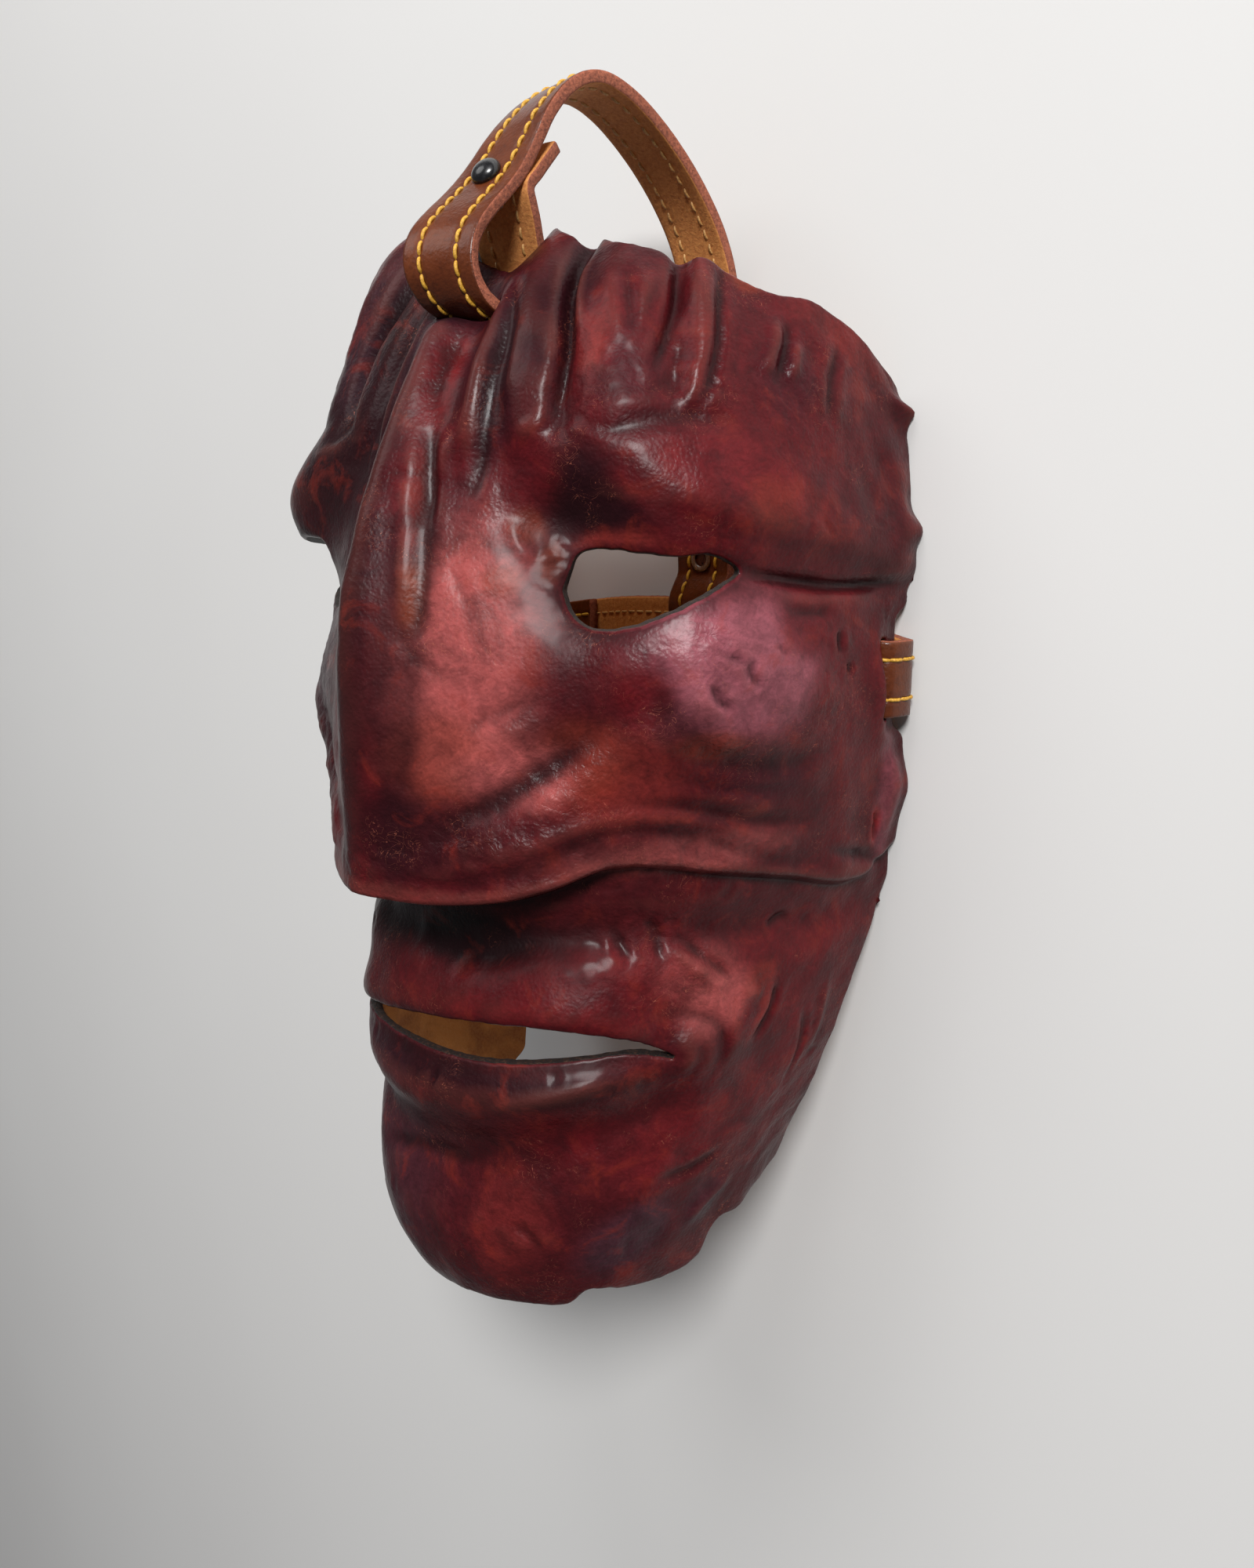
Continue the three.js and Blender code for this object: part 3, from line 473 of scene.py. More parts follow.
def intoLeather(loop):
    # unit vectors to the left of the way round
    run = np.roll(loop, -1, 0) - np.roll(loop, 1, 0)
    side = np.column_stack([-run[:, 1], run[:, 0]])
    return side / np.linalg.norm(side, axis=1, keepdims=True)


def raggedEdge(loop, seed):
    wander = noiseLayers(*loop.T, ((1, 2.6, seed), (0.5, 1.1, seed)))
    return loop + intoLeather(loop) * (cut["ragged"] * wander)[:, None]


def trimLoop():
    half = leather["halfGirth"]
    g = np.arange(-half, half, cut["step"])
    chin, brow = along(chinTrim, g), along(browTrim, g)
    right = np.arange(chin[-1], brow[-1], cut["step"])
    left = np.arange(chin[0], brow[0], cut["step"])[::-1]
    sides = ((g, chin), (np.full(len(right), half), right), (g[::-1], brow[::-1]),
             (np.full(len(left), -half), left))
    loop = np.vstack([np.column_stack(side) for side in sides])
    loop = evenly(softened(loop, cut["rounds"]), cut["spacing"])
    return raggedEdge(loop, 4.4)


def holeLoop(stations, mirror, seed):
    rows = np.asarray(stations, float)
    g = np.linspace(rows[0, 0], rows[-1, 0], cut["holeStations"])
    low, high = along(rows, g, 1), along(rows, g, 2)
    loop = np.vstack([np.column_stack([g, high]), np.column_stack([g[::-1], low[::-1]])])
    loop = softened(evenly(loop, cut["holeStep"]), cut["holeRounds"])
    if mirror < 0:
        loop = (loop * (-1, 1))[::-1]
    return raggedEdge(evenly(loop, cut["holeSpacing"]), seed)


def onSheet(target, axes, at, start, lift):
    # where the sheet passes a point of an outline drawn across a slot
    spot, step = np.array(start, float), search["step"]
    for _ in range(search["rounds"]):
        raised = lift(*spot.T)
        value = [(surface(spot[:, 0] + dg, spot[:, 1] + dh, raised) - at) @ axes.T - target
                 for dg, dh in ((0, 0), (step, 0), (0, step))]
        slope = np.stack([(value[1] - value[0]) / step, (value[2] - value[0]) / step], -1)
        move = np.linalg.solve(slope, value[0][..., None])[..., 0]
        spot -= np.clip(move, -search["most"], search["most"])
    return spot


def slotOutline():
    half = np.array([slots["width"], slots["height"]]) / 2 - slots["corner"]
    turn = np.linspace(0, 2 * np.pi, 64, endpoint=False) + 0.05
    circle = np.column_stack([np.cos(turn), np.sin(turn)])
    outline = np.sign(circle) * half + circle * slots["corner"]
    closed = np.vstack([outline, outline[:1]])
    run = runAlong(closed)
    return readAt(np.linspace(0, run[-1], slots["points"], endpoint=False), run, closed)[::-1]


def slotLoops():
    # each slot: the two axes of its outline, its middle, and a first guess of its points
    outline = slotOutline()
    turn = np.array(Euler(slots["browTurn"], "ZYX").to_matrix())
    across, deep = outline.T
    jobs = [(np.array([turn[:, 0], turn[:, 2]]), slots["brow"], (across, 126 + deep * 1.3))]
    for side in (1, -1):
        x, y, z = slots["side"]
        jobs.append((np.array([[0, 1, 0], [0, 0, 1]], float), (side * x, y, z),
                     (side * (144 - deep), 38 + across)))
    found = []
    for axes, at, guess in jobs:
        start = np.column_stack(guess)
        pair = [onSheet(outline, axes, np.array(at), start, lift) for lift in (formRelief, innerLift)]
        x, y = pair[0].T
        if np.sum(x * np.roll(y, -1) - y * np.roll(x, -1)) > 0:
            pair = [loop[::-1] for loop in pair]    # a hole runs clockwise, with the leather on its left
        found.append(pair)
    return found


# The shell: outer face, lining and the cut edges between them, as one closed mesh.
mesh = {"across": 1.2, "upward": 1.12, "liningAcross": 2.6, "liningUpward": 2.5, "fold": 0.8,
        "foldRows": (-2.4, 3.4), "foldClear": (-2.9, 3.7), "edgeClear": 0.55,
        "girths": (-60, -20, 20, 60, 100), "tall": (-146, 150.2, 593), "wide": (-150, 150, 601), "blur": 14}
# Rows over a cut edge: how far into the leather, the share of the way to the lining, and the
# material of the faces that end there.
edgeRows = [(1.0, 0.0, 0), (0.45, 0.03, 0), (0.12, 0.1, 0), (0, 0.25, 1), (0, 0.5, 1), (0, 0.75, 1),
            (0.12, 0.9, 1), (0.45, 0.97, 1), (1.0, 1.0, 2)]


def inside(loop, girth, height):
    # which points lie inside a closed loop
    a, b = loop, np.roll(loop, -1, 0)
    odd = np.zeros(len(girth), bool)
    for (x0, y0), (x1, y1) in zip(a, b):
        crosses = (y0 > height) != (y1 > height)
        odd[crosses] ^= girth[crosses] < (x1 - x0) * (height[crosses] - y0) / (y1 - y0) + x0
    return odd


def onLeather(loops, points):
    # which points lie in the first loop and in none of the holes
    keep = inside(loops[0], *points.T)
    for loop in loops[1:]:
        keep &= ~inside(loop, *points.T)
    return keep


def sheetPoints(across, upward, foldStep, loops):
    # points over the sheet at even steps, closer along the fold
    tall, wide = np.linspace(*mesh["tall"]), np.linspace(*mesh["wide"])
    g, h = np.meshgrid(mesh["girths"], tall)
    place = surface(g, h, mainRelief(g, h))
    rise = np.linalg.norm(np.diff(place, axis=0), axis=2).mean(1)
    done = np.concatenate([[0], np.cumsum(rise)])
    rows = np.interp(np.arange(0.5, done[-1], upward), done, tall)
    spots = []

    def addRow(height, number):
        place = surface(wide, height, mainRelief(wide, height))
        run = runAlong(place)
        at = np.arange((0.25 + 0.5 * (number % 2)) * across, run[-1], across)
        girth = np.interp(at, run, wide)
        return np.column_stack([girth, np.interp(girth, wide, height)])

    for number, level in enumerate(rows):
        row = addRow(np.full(len(wide), level), number)
        if foldStep:
            off = row[:, 1] - along(foldLine, row[:, 0])
            row = row[(off < mesh["foldClear"][0]) | (off > mesh["foldClear"][1])]
        spots.append(row)
    if foldStep:
        for number, off in enumerate(np.arange(*mesh["foldRows"], foldStep)):
            spots.append(addRow(along(foldLine, wide) + off, number))
    spots = np.vstack(spots)
    spots = spots[onLeather(loops, spots)]
    tree = kdtree.KDTree(sum(map(len, loops)))
    for number, spot in enumerate(np.vstack(loops)):
        tree.insert((*spot, 0), number)
    tree.balance()
    far = np.array([tree.find((*spot, 0))[2] for spot in spots])
    return spots[far > mesh["edgeClear"] * across]


def triangulate(loops, spots):
    # triangles over the sheet between its loops; the loops' points come first
    points = np.vstack([*loops, spots])
    edges, start = [], 0
    for loop in loops:
        count = len(loop)
        edges += [(start + k, start + (k + 1) % count) for k in range(count)]
        start += count
    found = delaunay_2d_cdt([Vector(p) for p in points], edges, [], 0, 1e-6)
    if len(found[0]) != len(points):
        raise RuntimeError("the outlines of the sheet cross each other")
    triangles = np.array(found[2])
    triangles = triangles[onLeather(loops, points[triangles].mean(1))]
    a, b, c = (points[triangles[:, k]] for k in range(3))
    flip = (b[:, 0] - a[:, 0]) * (c[:, 1] - a[:, 1]) < (b[:, 1] - a[:, 1]) * (c[:, 0] - a[:, 0])
    triangles[flip] = triangles[flip][:, ::-1]
    return points, triangles


def blurred(values, triangles, rounds):
    a = triangles.T.ravel()
    b = np.roll(triangles, -1, 1).T.ravel()
    size = len(values)
    count = np.bincount(a, minlength=size) + np.bincount(b, minlength=size) + 1
    for _ in range(rounds):
        values = (values + np.bincount(a, values[b], size) + np.bincount(b, values[a], size)) / count
    return values


def makeShell():
    pairs = [(loop, loop) for loop in (trimLoop(), holeLoop(eyeHole, 1, 1.3), holeLoop(eyeHole, -1, 2.9),
                                       holeLoop(mouthHole, 1, 7.7))]
    pairs += slotLoops()
    into = [[intoLeather(loop) for loop in pair] for pair in pairs]
    inset = [[pair[k] + sides[k] * edgeRows[0][0] for k in (0, 1)] for pair, sides in zip(pairs, into)]
    outerLoops, innerLoops = ([both[k] for both in inset] for k in (0, 1))
    outer, outerFaces = triangulate(outerLoops, sheetPoints(mesh["across"], mesh["upward"], mesh["fold"],
                                                            outerLoops))
    inner, innerFaces = triangulate(innerLoops, sheetPoints(mesh["liningAcross"], mesh["liningUpward"], 0,
                                                            innerLoops))
    fine, creaseShade, rough = fineRelief(*outer.T)
    lift = formRelief(*outer.T) + fine
    # how far each point stands above or sinks below its blurred surroundings: it paints shade in the hollows
    # and a sheen on the ridges
    shadeAndSheen = lift - blurred(lift, outerFaces, mesh["blur"])
    facing = innerFaces[:, ::-1] + len(outer)
    places, faces = [surface(*outer.T, lift), surface(*inner.T, innerLift(*inner.T))], [outerFaces, facing]
    part = [np.zeros(len(outerFaces), int), np.full(len(facing), 2)]
    sheet, start = [outer, inner], 0
    total = len(outer) + len(inner)
    for pair, sides in zip(pairs, into):
        count = len(pair[0])
        ring = np.arange(count)
        ahead = np.roll(ring, -1)
        last = start + ring
        for deep, share, kind in edgeRows[1:]:
            if share == 1:
                this = len(outer) + start + ring
            else:
                spots = [pair[k] + sides[k] * deep for k in (0, 1)]
                places.append((1 - share) * surface(*spots[0].T, outerLift(*spots[0].T))
                              + share * surface(*spots[1].T, innerLift(*spots[1].T)))
                sheet.append(spots[0])
                this = total + ring
                total += count
            faces.append(np.column_stack([this, this[ahead], last[ahead]]))
            faces.append(np.column_stack([this, last[ahead], last]))
            part += [np.full(count, kind)] * 2
            last = this
        start += count
    extra = total - len(outer)
    shell = makeMesh("mask_leather", np.vstack(places), np.vstack(faces), np.concatenate(part),
                     [dyedLeather, cutEdge, fleshSide])
    spots = np.vstack(sheet).T
    addValues(shell, "dyeAndPaintedLight", "FLOAT_COLOR", np.column_stack([dyeAndPaintedLightAt(*spots), np.ones(total)]))
    # these two paint shade in the creases and hollows and a pale sheen on the ridges
    addValues(shell, "creaseShade", "FLOAT", np.append(creaseShade, np.zeros(extra)))
    addValues(shell, "shadeAndSheen", "FLOAT", np.append(shadeAndSheen, np.zeros(extra)))
    addValues(shell, "rough", "FLOAT", np.append(rough, np.full(extra, 0.1)))
    addValues(shell, "matt", "FLOAT", swells(matt, *spots))
    return shell


def makeMesh(name, points, faces, part, materials):
    data = bpy.data.meshes.new(name)
    data.from_pydata(toScene(points).tolist(), [], faces if isinstance(faces, list) else faces.tolist())
    data.polygons.foreach_set("material_index", np.asarray(part, np.int32))
    data.polygons.foreach_set("use_smooth", np.ones(len(data.polygons), bool))
    data.update()
    for material in materials:
        data.materials.append(material)
    piece = bpy.data.objects.new(name, data)
    bpy.context.collection.objects.link(piece)
    return piece


def addValues(piece, name, kind, values):
    layer = piece.data.attributes.new(name, kind, "POINT")
    slot = "color" if kind == "FLOAT_COLOR" else "value"
    layer.data.foreach_set(slot, np.asarray(values, np.float32).ravel())


def linear(hexColour):
    parts = [int(hexColour[k:k + 2], 16) / 255 for k in (1, 3, 5)]
    return np.array([c / 12.92 if c <= 0.04045 else ((c + 0.055) / 1.055) ** 2.4 for c in parts])


# The dye as it was rubbed on, and patches of painted shade and painted sheen:
# [girth, height, wide, tall, tint, strength], later over earlier.
tints = {"ground": "#400f13", "shadeBlack": "#100507", "night": "#1d080d", "plum": "#300c15", "ash": "#33222a",
         "oxblood": "#4e0d12", "wine": "#5c161a", "brick": "#6b221f", "rose": "#904543", "mauve": "#834750",
         "rust": "#702b19", "ember": "#74301a", "cherry": "#981f1c"}
dyeAndPaintedLight = [
    [-70, 60, 90, 90, "night", 0.6], [-90, -60, 60, 60, "night", 0.6], [90, 120, 42, 30, "oxblood", 0.7],
    [88, 60, 40, 30, "oxblood", 0.7], [0, 100, 30, 50, "plum", 0.5], [0, 10, 26, 50, "oxblood", 0.8],
    # the rose patch on the nose flank is dye and a painted sheen where the light falls
    [21, 45, 14, 34, "rose", 0.9], [17, 22, 10, 12, "rust", 0.45], [-3, 112, 9, 18, "ash", 0.8],
    [20, 114, 8, 22, "night", 0.6], [31, 128, 9, 20, "night", 0.75], [46, 114, 12, 17, "oxblood", 0.8],
    [42, 119, 5, 6, "brick", 0.4], [62, 124, 7, 16, "oxblood", 0.8], [107, 105, 12, 11, "wine", 0.5],
    [122, 143, 28, 7, "brick", 0.55], [77, 144, 6, 4, "rust", 0.7], [90, 120, 10, 12, "plum", 0.5],
    [74, 93, 22, 8, "wine", 0.8], [84, 86, 8, 7, "rust", 0.25], [96, 89, 7, 6, "brick", 0.5],
    [50, 112, 8, 10, "plum", 0.4],
    # the near-black patch at girth 46 is painted shade in the recess under the brow
    [46, 84, 14, 10, "night", 0.9], [30, 88, 8, 10, "oxblood", 0.7], [9, 92, 8, 14, "oxblood", 0.9],
    # the mauve patch on the cheek is dye and a painted sheen where the light falls
    [104, 64, 26, 4, "wine", 0.6], [78, 46, 22, 19, "mauve", 0.85], [96, 56, 11, 9, "oxblood", 0.85],
    [83, 15, 14, 6, "plum", 0.55], [56, 38, 6, 8, "oxblood", 0.9], [106, 34, 12, 14, "oxblood", 0.9],
    [50, 17, 14, 12, "brick", 0.75], [44, 22, 10, 10, "rust", 0.35], [70, 26, 8, 4, "rust", 0.5],
    # the rose patch at girth 33 is dye and a painted highlight on the fold
    [33, 18, 10, 8, "rose", 0.95], [36, 68, 3, 5, "ember", 0.5], [30, 76, 4, 4, "rust", 0.6],
    [27, 63, 4, 4, "rust", 0.5], [66, -2, 27, 5, "rose", 0.5], [120, 20, 20, 40, "oxblood", 0.7],
    [139, 2, 6, 22, "mauve", 0.4], [134, -6, 2.5, 6, "cherry", 0.7], [10, 42, 5, 50, "night", 0.7],
    [14, 3, 15, 11, "night", 0.75], [-2, 88, 7, 34, "night", 0.8], [-4, 40, 7, 60, "night", 0.7],
    [1, 36, 5, 30, "night", 0.7],
    [100, -36, 40, 10, "oxblood", 0.7], [40, -40, 46, 12, "oxblood", 0.85], [58, -28, 14, 9, "wine", 0.55],
    # painted shadow, near black, under the fold on both sides of the nose
    [12, -27, 24, 9, "shadeBlack", 0.97], [-34, -28, 34, 10, "shadeBlack", 0.85], [72, -37, 12, 8, "rose", 0.35],
    # the rose patch at the mouth corner is dye and a painted highlight
    [80, -46, 11, 8, "rose", 0.8], [93, -43, 7, 5, "rust", 0.3], [120, -70, 40, 44, "wine", 0.45],
    [20, -64, 52, 5, "night", 0.85], [44, -79, 14, 8, "oxblood", 0.85], [30, -104, 11, 17, "brick", 0.4],
    # the grey patch at girth 64 on the chin is dye and a painted bluish sheen
    [64, -115, 15, 12, "ash", 0.65], [-30, -96, 36, 36, "ash", 0.45], [75, -88, 18, 12, "wine", 0.6],
    [92, -118, 10, 10, "ash", 0.4], [-60, 40, 24, 20, "ash", 0.5], [-55, 92, 20, 10, "night", 0.7],
    # the near-black patches at girth -28 and -30 are darker dye and painted shade on the far side of the
    # nose, turned from the light
    [-70, -100, 20, 20, "wine", 0.5], [-100, 20, 14, 20, "wine", 0.5], [-28, 104, 18, 30, "shadeBlack", 0.6],
    [-40, 120, 12, 16, "ash", 0.4], [-30, 124, 8, 10, "shadeBlack", 0.6],
]
# Places rubbed matt: [girth, height, wide, tall, strength].
matt = [[46, -29, 20, 9, 1.0], [38, 62, 9, 14, 0.9], [45, -60, 22, 5, 0.8], [8, 74, 4, 16, 0.4],
        [96, 54, 12, 12, 0.7], [50, 112, 10, 12, 0.5], [36, 72, 7, 6, 0.5], [108, 88, 14, 12, 0.5]]
# Dye that ran along the folds, and a line of painted shade down the cheek crease: [tint, width, [girth,
# height], ...].
dyeAndShadeLines = [
    ["cherry", 2.6, [2, 120], [4, 108], [5.5, 96]],
    ["oxblood", 4.0, [1, 122], [3, 108], [5, 96], [4, 84], [5, 70]],
    ["brick", 2.0, [6, 93], [8, 81], [10, 67]], ["ember", 1.6, [10.2, 66], [11, 58], [11.5, 51]],
    ["brick", 2.4, [42, 123], [43, 117], [42, 111]], ["oxblood", 3.0, [48, 92], [58, 84], [70, 79]],
    # the near-black line down the cheek crease is painted shade
    ["night", 3.0, [46, 28], [36, 18], [24, 9]], ["brick", 2.0, [96, -40], [98, -52], [92, -62]],
    ["brick", 1.6, [41, 73], [50, 75], [60, 74.5]], ["oxblood", 4.0, [36, -74], [46, -80], [54, -84]],
]
# How ragged a patch's border is, where it begins and is full, and the lines' strength, reach and
# fade at both ends.
rub = {"ragged": 0.3, "from": 0.12, "full": 0.72, "line": 0.85, "reach": 2.4, "ends": (-0.1, 0.25)}


def dyeAndPaintedLightAt(girth, height):
    colour = np.tile(linear(tints["ground"]), (len(girth), 1))
    wobble = noiseLayers(girth, height, dyeNoise)
    for g, h, wide, tall, tint, strength in dyeAndPaintedLight:
        near = np.exp(-((girth - g) / wide) ** 2 - ((height - h) / tall) ** 2)
        share = strength * ramp(near + rub["ragged"] * wobble * np.sqrt(near), rub["from"], rub["full"])
        colour += share[:, None] * (linear(tints[tint]) - colour)
    for tint, width, *points in dyeAndShadeLines:
        near, off, done = nearPath(foldPath(points), girth, height, rub["reach"] * width)
        share = rub["line"] * np.exp(-((off / width) ** 2))
        share = share * ramp(done, *rub["ends"]) * ramp(1 - done, *rub["ends"])
        colour[near] += share[:, None] * (linear(tints[tint]) - colour[near])
    return colour


# Straps: ribbons swept along their centre lines.
strap = {"width": 20.0, "thickness": 3.2, "edge": 0.7, "row": 5.2, "groove": 0.35, "grooveWidth": 0.8,
         "step": 1.3, "across": 32, "frayed": 0.05, "uneven": 0.012}
# Stations of the crown strap: x, y, z and its turn about y, in degrees.
crownLine = [
    [-3, 167.5, 65.4, 12], [-2.4, 160.6, 71.8, 13], [-2, 156.6, 75.2, 13], [-2.4, 153, 73.9, 12],
    [-3.2, 149.4, 72, 11], [-4.2, 145.6, 70.2, 10], [-4.8, 142.2, 68.6, 8], [-4.8, 138.8, 67.4, 6],
    [-3.6, 133.6, 69.2, 6], [-1.6, 128.4, 71.8, 6], [-0.4, 124.6, 74.2, 6],
    [0, 123.4, 78.2, 6], [0, 125.2, 82.6, 6], [0, 127.2, 87.2, 10], [-0.4, 130, 91.4, 16],
    [-1, 134.7, 94, 20], [-1.4, 139.7, 94.2, 21], [-1.8, 144.8, 92, 20], [-2, 149.9, 87.4, 17],
    [-2, 154.4, 82.5, 15], [-2, 159, 78, 13], [-2, 163.8, 74.2, 10], [-1.6, 169, 70.8, 6],
    [-1, 174.2, 67.2, 0], [-0.4, 180.4, 61, -6], [0, 184.2, 54.4, -10], [0.4, 185.4, 47.8, -12],
    [0.8, 183.6, 40.4, -10], [1, 179.6, 32.4, -8], [1.4, 172.2, 22.4, -6], [2, 163.2, 13.8, -4],
    [3, 154, 8.2, -2], [4, 143, 4.8, 0], [5.2, 122, 4.5, 0], [6.7, 92, 4.5, 0], [7.8, 65.5, 4.5, 0],
    [8, 50, 4.5, 0], [8, 36.4, 4.6, 0], [8, 32, 5.6, 0], [8, 30.3, 8.5, 0], [8, 32, 11.4, 0],
    [8, 36.4, 12.4, 0], [8, 48, 12.4, 0], [8, 53.4, 12.4, 0], [8, 57.2, 10.6, 0], [7.9, 60.6, 8.6, 0],
    [7.8, 65.5, 8.4, 0], [7.6, 75, 8.4, 0]]
# Half of the rear band, from its free end round the rim to the middle: x and z.
bandLine = [[41, 8.6], [47, 8.2], [52, 8.2], [57, 8.6], [62, 10.9], [66, 12.1], [70, 12.3], [73.4, 12.1],
            [75.5, 10.6], [76, 8], [76, 5.2], [75.2, 2.9], [72.6, 1.9], [67, 1.8], [58.5, 4.2], [52, 4.5],
            [45, 4.6], [36, 5.4], [26, 7.6], [19, 8.5], [0, 8.5]]
bandSag = {"middle": 44, "side": 36, "half": 74}


def bandHeight(x):
    drop = bandSag["middle"] - bandSag["side"]
    return bandSag["middle"] - drop * (min(abs(x), bandSag["half"]) / bandSag["half"]) ** 2


def throughPoints(points, perSpan=24):
    # centripetal curve through the stations, and at which station each of its points lies
    rows = np.asarray(points, float)
    rows = np.vstack([2 * rows[0] - rows[1], rows, 2 * rows[-1] - rows[-2]])
    curve, number = [], []
    t = np.linspace(0, 1, perSpan, endpoint=False)[:, None]
    for k in range(1, len(rows) - 2):
        a, b, c, d = rows[k - 1:k + 3]
        x, y, z = (max(np.linalg.norm(q - p), 1e-6) ** 0.5 for p, q in ((a, b), (b, c), (c, d)))
        out = ((b - a) / x - (c - a) / (x + y) + (c - b) / y) * y
        back = ((c - b) / y - (d - b) / (y + z) + (d - c) / z) * y
        curve.append((2 * t ** 3 - 3 * t ** 2 + 1) * b + (t ** 3 - 2 * t ** 2 + t) * out
                     + (3 * t ** 2 - 2 * t ** 3) * c + (t ** 3 - t ** 2) * back)
        number.append(k - 1 + t[:, 0])
    return np.vstack([*curve, rows[-2:-1]]), np.append(np.concatenate(number), len(rows) - 3)


def strapProfile():
    # round the section: [across, out, kind of surface], outer face first
    w, t, e = strap["width"] / 2, strap["thickness"] / 2, strap["edge"]
    flat = np.linspace(-w + e, w - e, strap["across"])
    dent = sum(np.exp(-((flat - side * strap["row"]) / strap["grooveWidth"]) ** 2) for side in (-1, 1))
    outer = [(x, t - strap["groove"] * d, 0) for x, d in zip(flat, dent)]
    right = [(w - 0.25 * e, t - 0.2 * e, 0), (w, t - e, 1), (w, 0, 1), (w, -t + e, 1),
             (w - 0.25 * e, -t + 0.2 * e, 2)]
    under = [(x, -t + 0.5 * strap["groove"] * d, 2) for x, d in zip(flat[::-2], dent[::-2])]
    left = [(-x, y, kind) for x, y, kind in right[::-1]]
    return outer + right + under + left


def makeStrap(name, stations, sides, outward):
    curve, number = throughPoints(stations)
    run = runAlong(curve)
    at = np.linspace(0, run[-1], int(run[-1] / strap["step"]))
    centre = readAt(at, run, curve)
    side = readAt(np.interp(at, run, number), np.arange(len(sides)), sides)
    ahead = np.gradient(centre, axis=0)
    ahead /= np.linalg.norm(ahead, axis=1, keepdims=True)
    out = np.cross(ahead, side) * outward
    out /= np.linalg.norm(out, axis=1, keepdims=True)
    profile = strapProfile()
    shake = np.random.default_rng(len(name))
    points = np.empty((len(at), len(profile), 3))
    for k, (x, y, kind) in enumerate(profile):
        frayed = x + np.sign(x) * shake.normal(0, strap["frayed"], len(at)) * (kind == 1)
        uneven = y + shake.normal(0, strap["uneven"], len(at)) * (kind != 1)
        points[:, k] = centre + side * frayed[:, None] + out * uneven[:, None]
    count = len(profile)
    ring = np.arange(count)
    faces, part = [], []
    kinds = np.array([kind for _, _, kind in profile])
    between = np.where(kinds == np.roll(kinds, -1), kinds, 1)
    for k in range(len(at) - 1):
        a, b = k * count + ring, (k + 1) * count + ring
        quad = np.column_stack([a, b, np.roll(b, -1), np.roll(a, -1)])
        faces.append(quad if outward < 0 else quad[:, ::-1])
        part.append(between)
    faces = [row for block in faces for row in block.tolist()]
    part = np.concatenate(part).tolist()
    last = (len(at) - 1) * count
    caps = [ring.tolist(), (last + ring)[::-1].tolist()]
    faces += caps if outward < 0 else [cap[::-1] for cap in caps]
    part += [1, 1]
    piece = makeMesh(name, points.reshape(-1, 3), faces, part, [strapGrain, strapEdge, strapFlesh])
    lines = []
    for x in (-strap["row"], strap["row"]):
        for y in (1, -1):
            lift = strap["thickness"] / 2 - strap["groove"] * (1 if y > 0 else 0.5)
            lines.append((centre + side * x + out * (y * lift), out * y))
    return piece, lines


# Materials.
def addNode(tree, kind, links=None, **settings):
    node = tree.nodes.new(kind)
    for name, value in settings.items():
        setattr(node, name, value)
    for socket, source in (links or {}).items():
        if isinstance(source, bpy.types.Node):
            source = source.outputs[0]
        if isinstance(source, bpy.types.NodeSocket):
            tree.links.new(source, node.inputs[socket])
        elif isinstance(source, str) and source.startswith("#"):
            node.inputs[socket].default_value = (*linear(source), 1)
        else:
            node.inputs[socket].default_value = source
    return node


def newMaterial(name, values):
    material = bpy.data.materials.new(name)
    material.use_nodes = True
    tree = material.node_tree
    shader = tree.nodes["Principled BSDF"]
    for socket, value in values.items():
        shader.inputs[socket].default_value = value
    place = addNode(tree, "ShaderNodeTexCoord").outputs["Object"]
    return material, tree, shader, place


def per(size):
    return 1 / (size * mm)


def layered(tree, colour, layers):
    # lays tints over a colour: what each follows, where it starts and is full, its most, its colour
    for source, start, full, most, tint in layers:
        share = addNode(tree, "ShaderNodeMapRange", {0: source, 1: start, 2: full, 3: 0, 4: most})
        mixed = addNode(tree, "ShaderNodeMix", {0: share, 6: colour, 7: tint}, data_type="RGBA")
        colour = mixed.outputs[2]
    return colour


def fineFinish(name, values, size, detail, colour, layer, bump=None, gloss=None):
    # a finish with one fine noise that tints it, and stands up as fibre or wears the gloss
    material, tree, shader, place = newMaterial(name, values)
    fibre = addNode(tree, "ShaderNodeTexNoise", {"Vector": place, "Scale": per(size), "Detail": detail,
                                                 "Roughness": 0.7})
    tree.links.new(layered(tree, colour, [(fibre, *layer)]), shader.inputs["Base Color"])
    if bump:
        relief = addNode(tree, "ShaderNodeBump", {"Height": fibre, "Distance": bump * mm})
        tree.links.new(relief.outputs[0], shader.inputs["Normal"])
    if gloss:
        worn = addNode(tree, "ShaderNodeMapRange", {0: fibre, 1: 0.3, 2: 0.7, 3: gloss[0], 4: gloss[1]})
        tree.links.new(worn.outputs[0], shader.inputs["Roughness"])
    return material


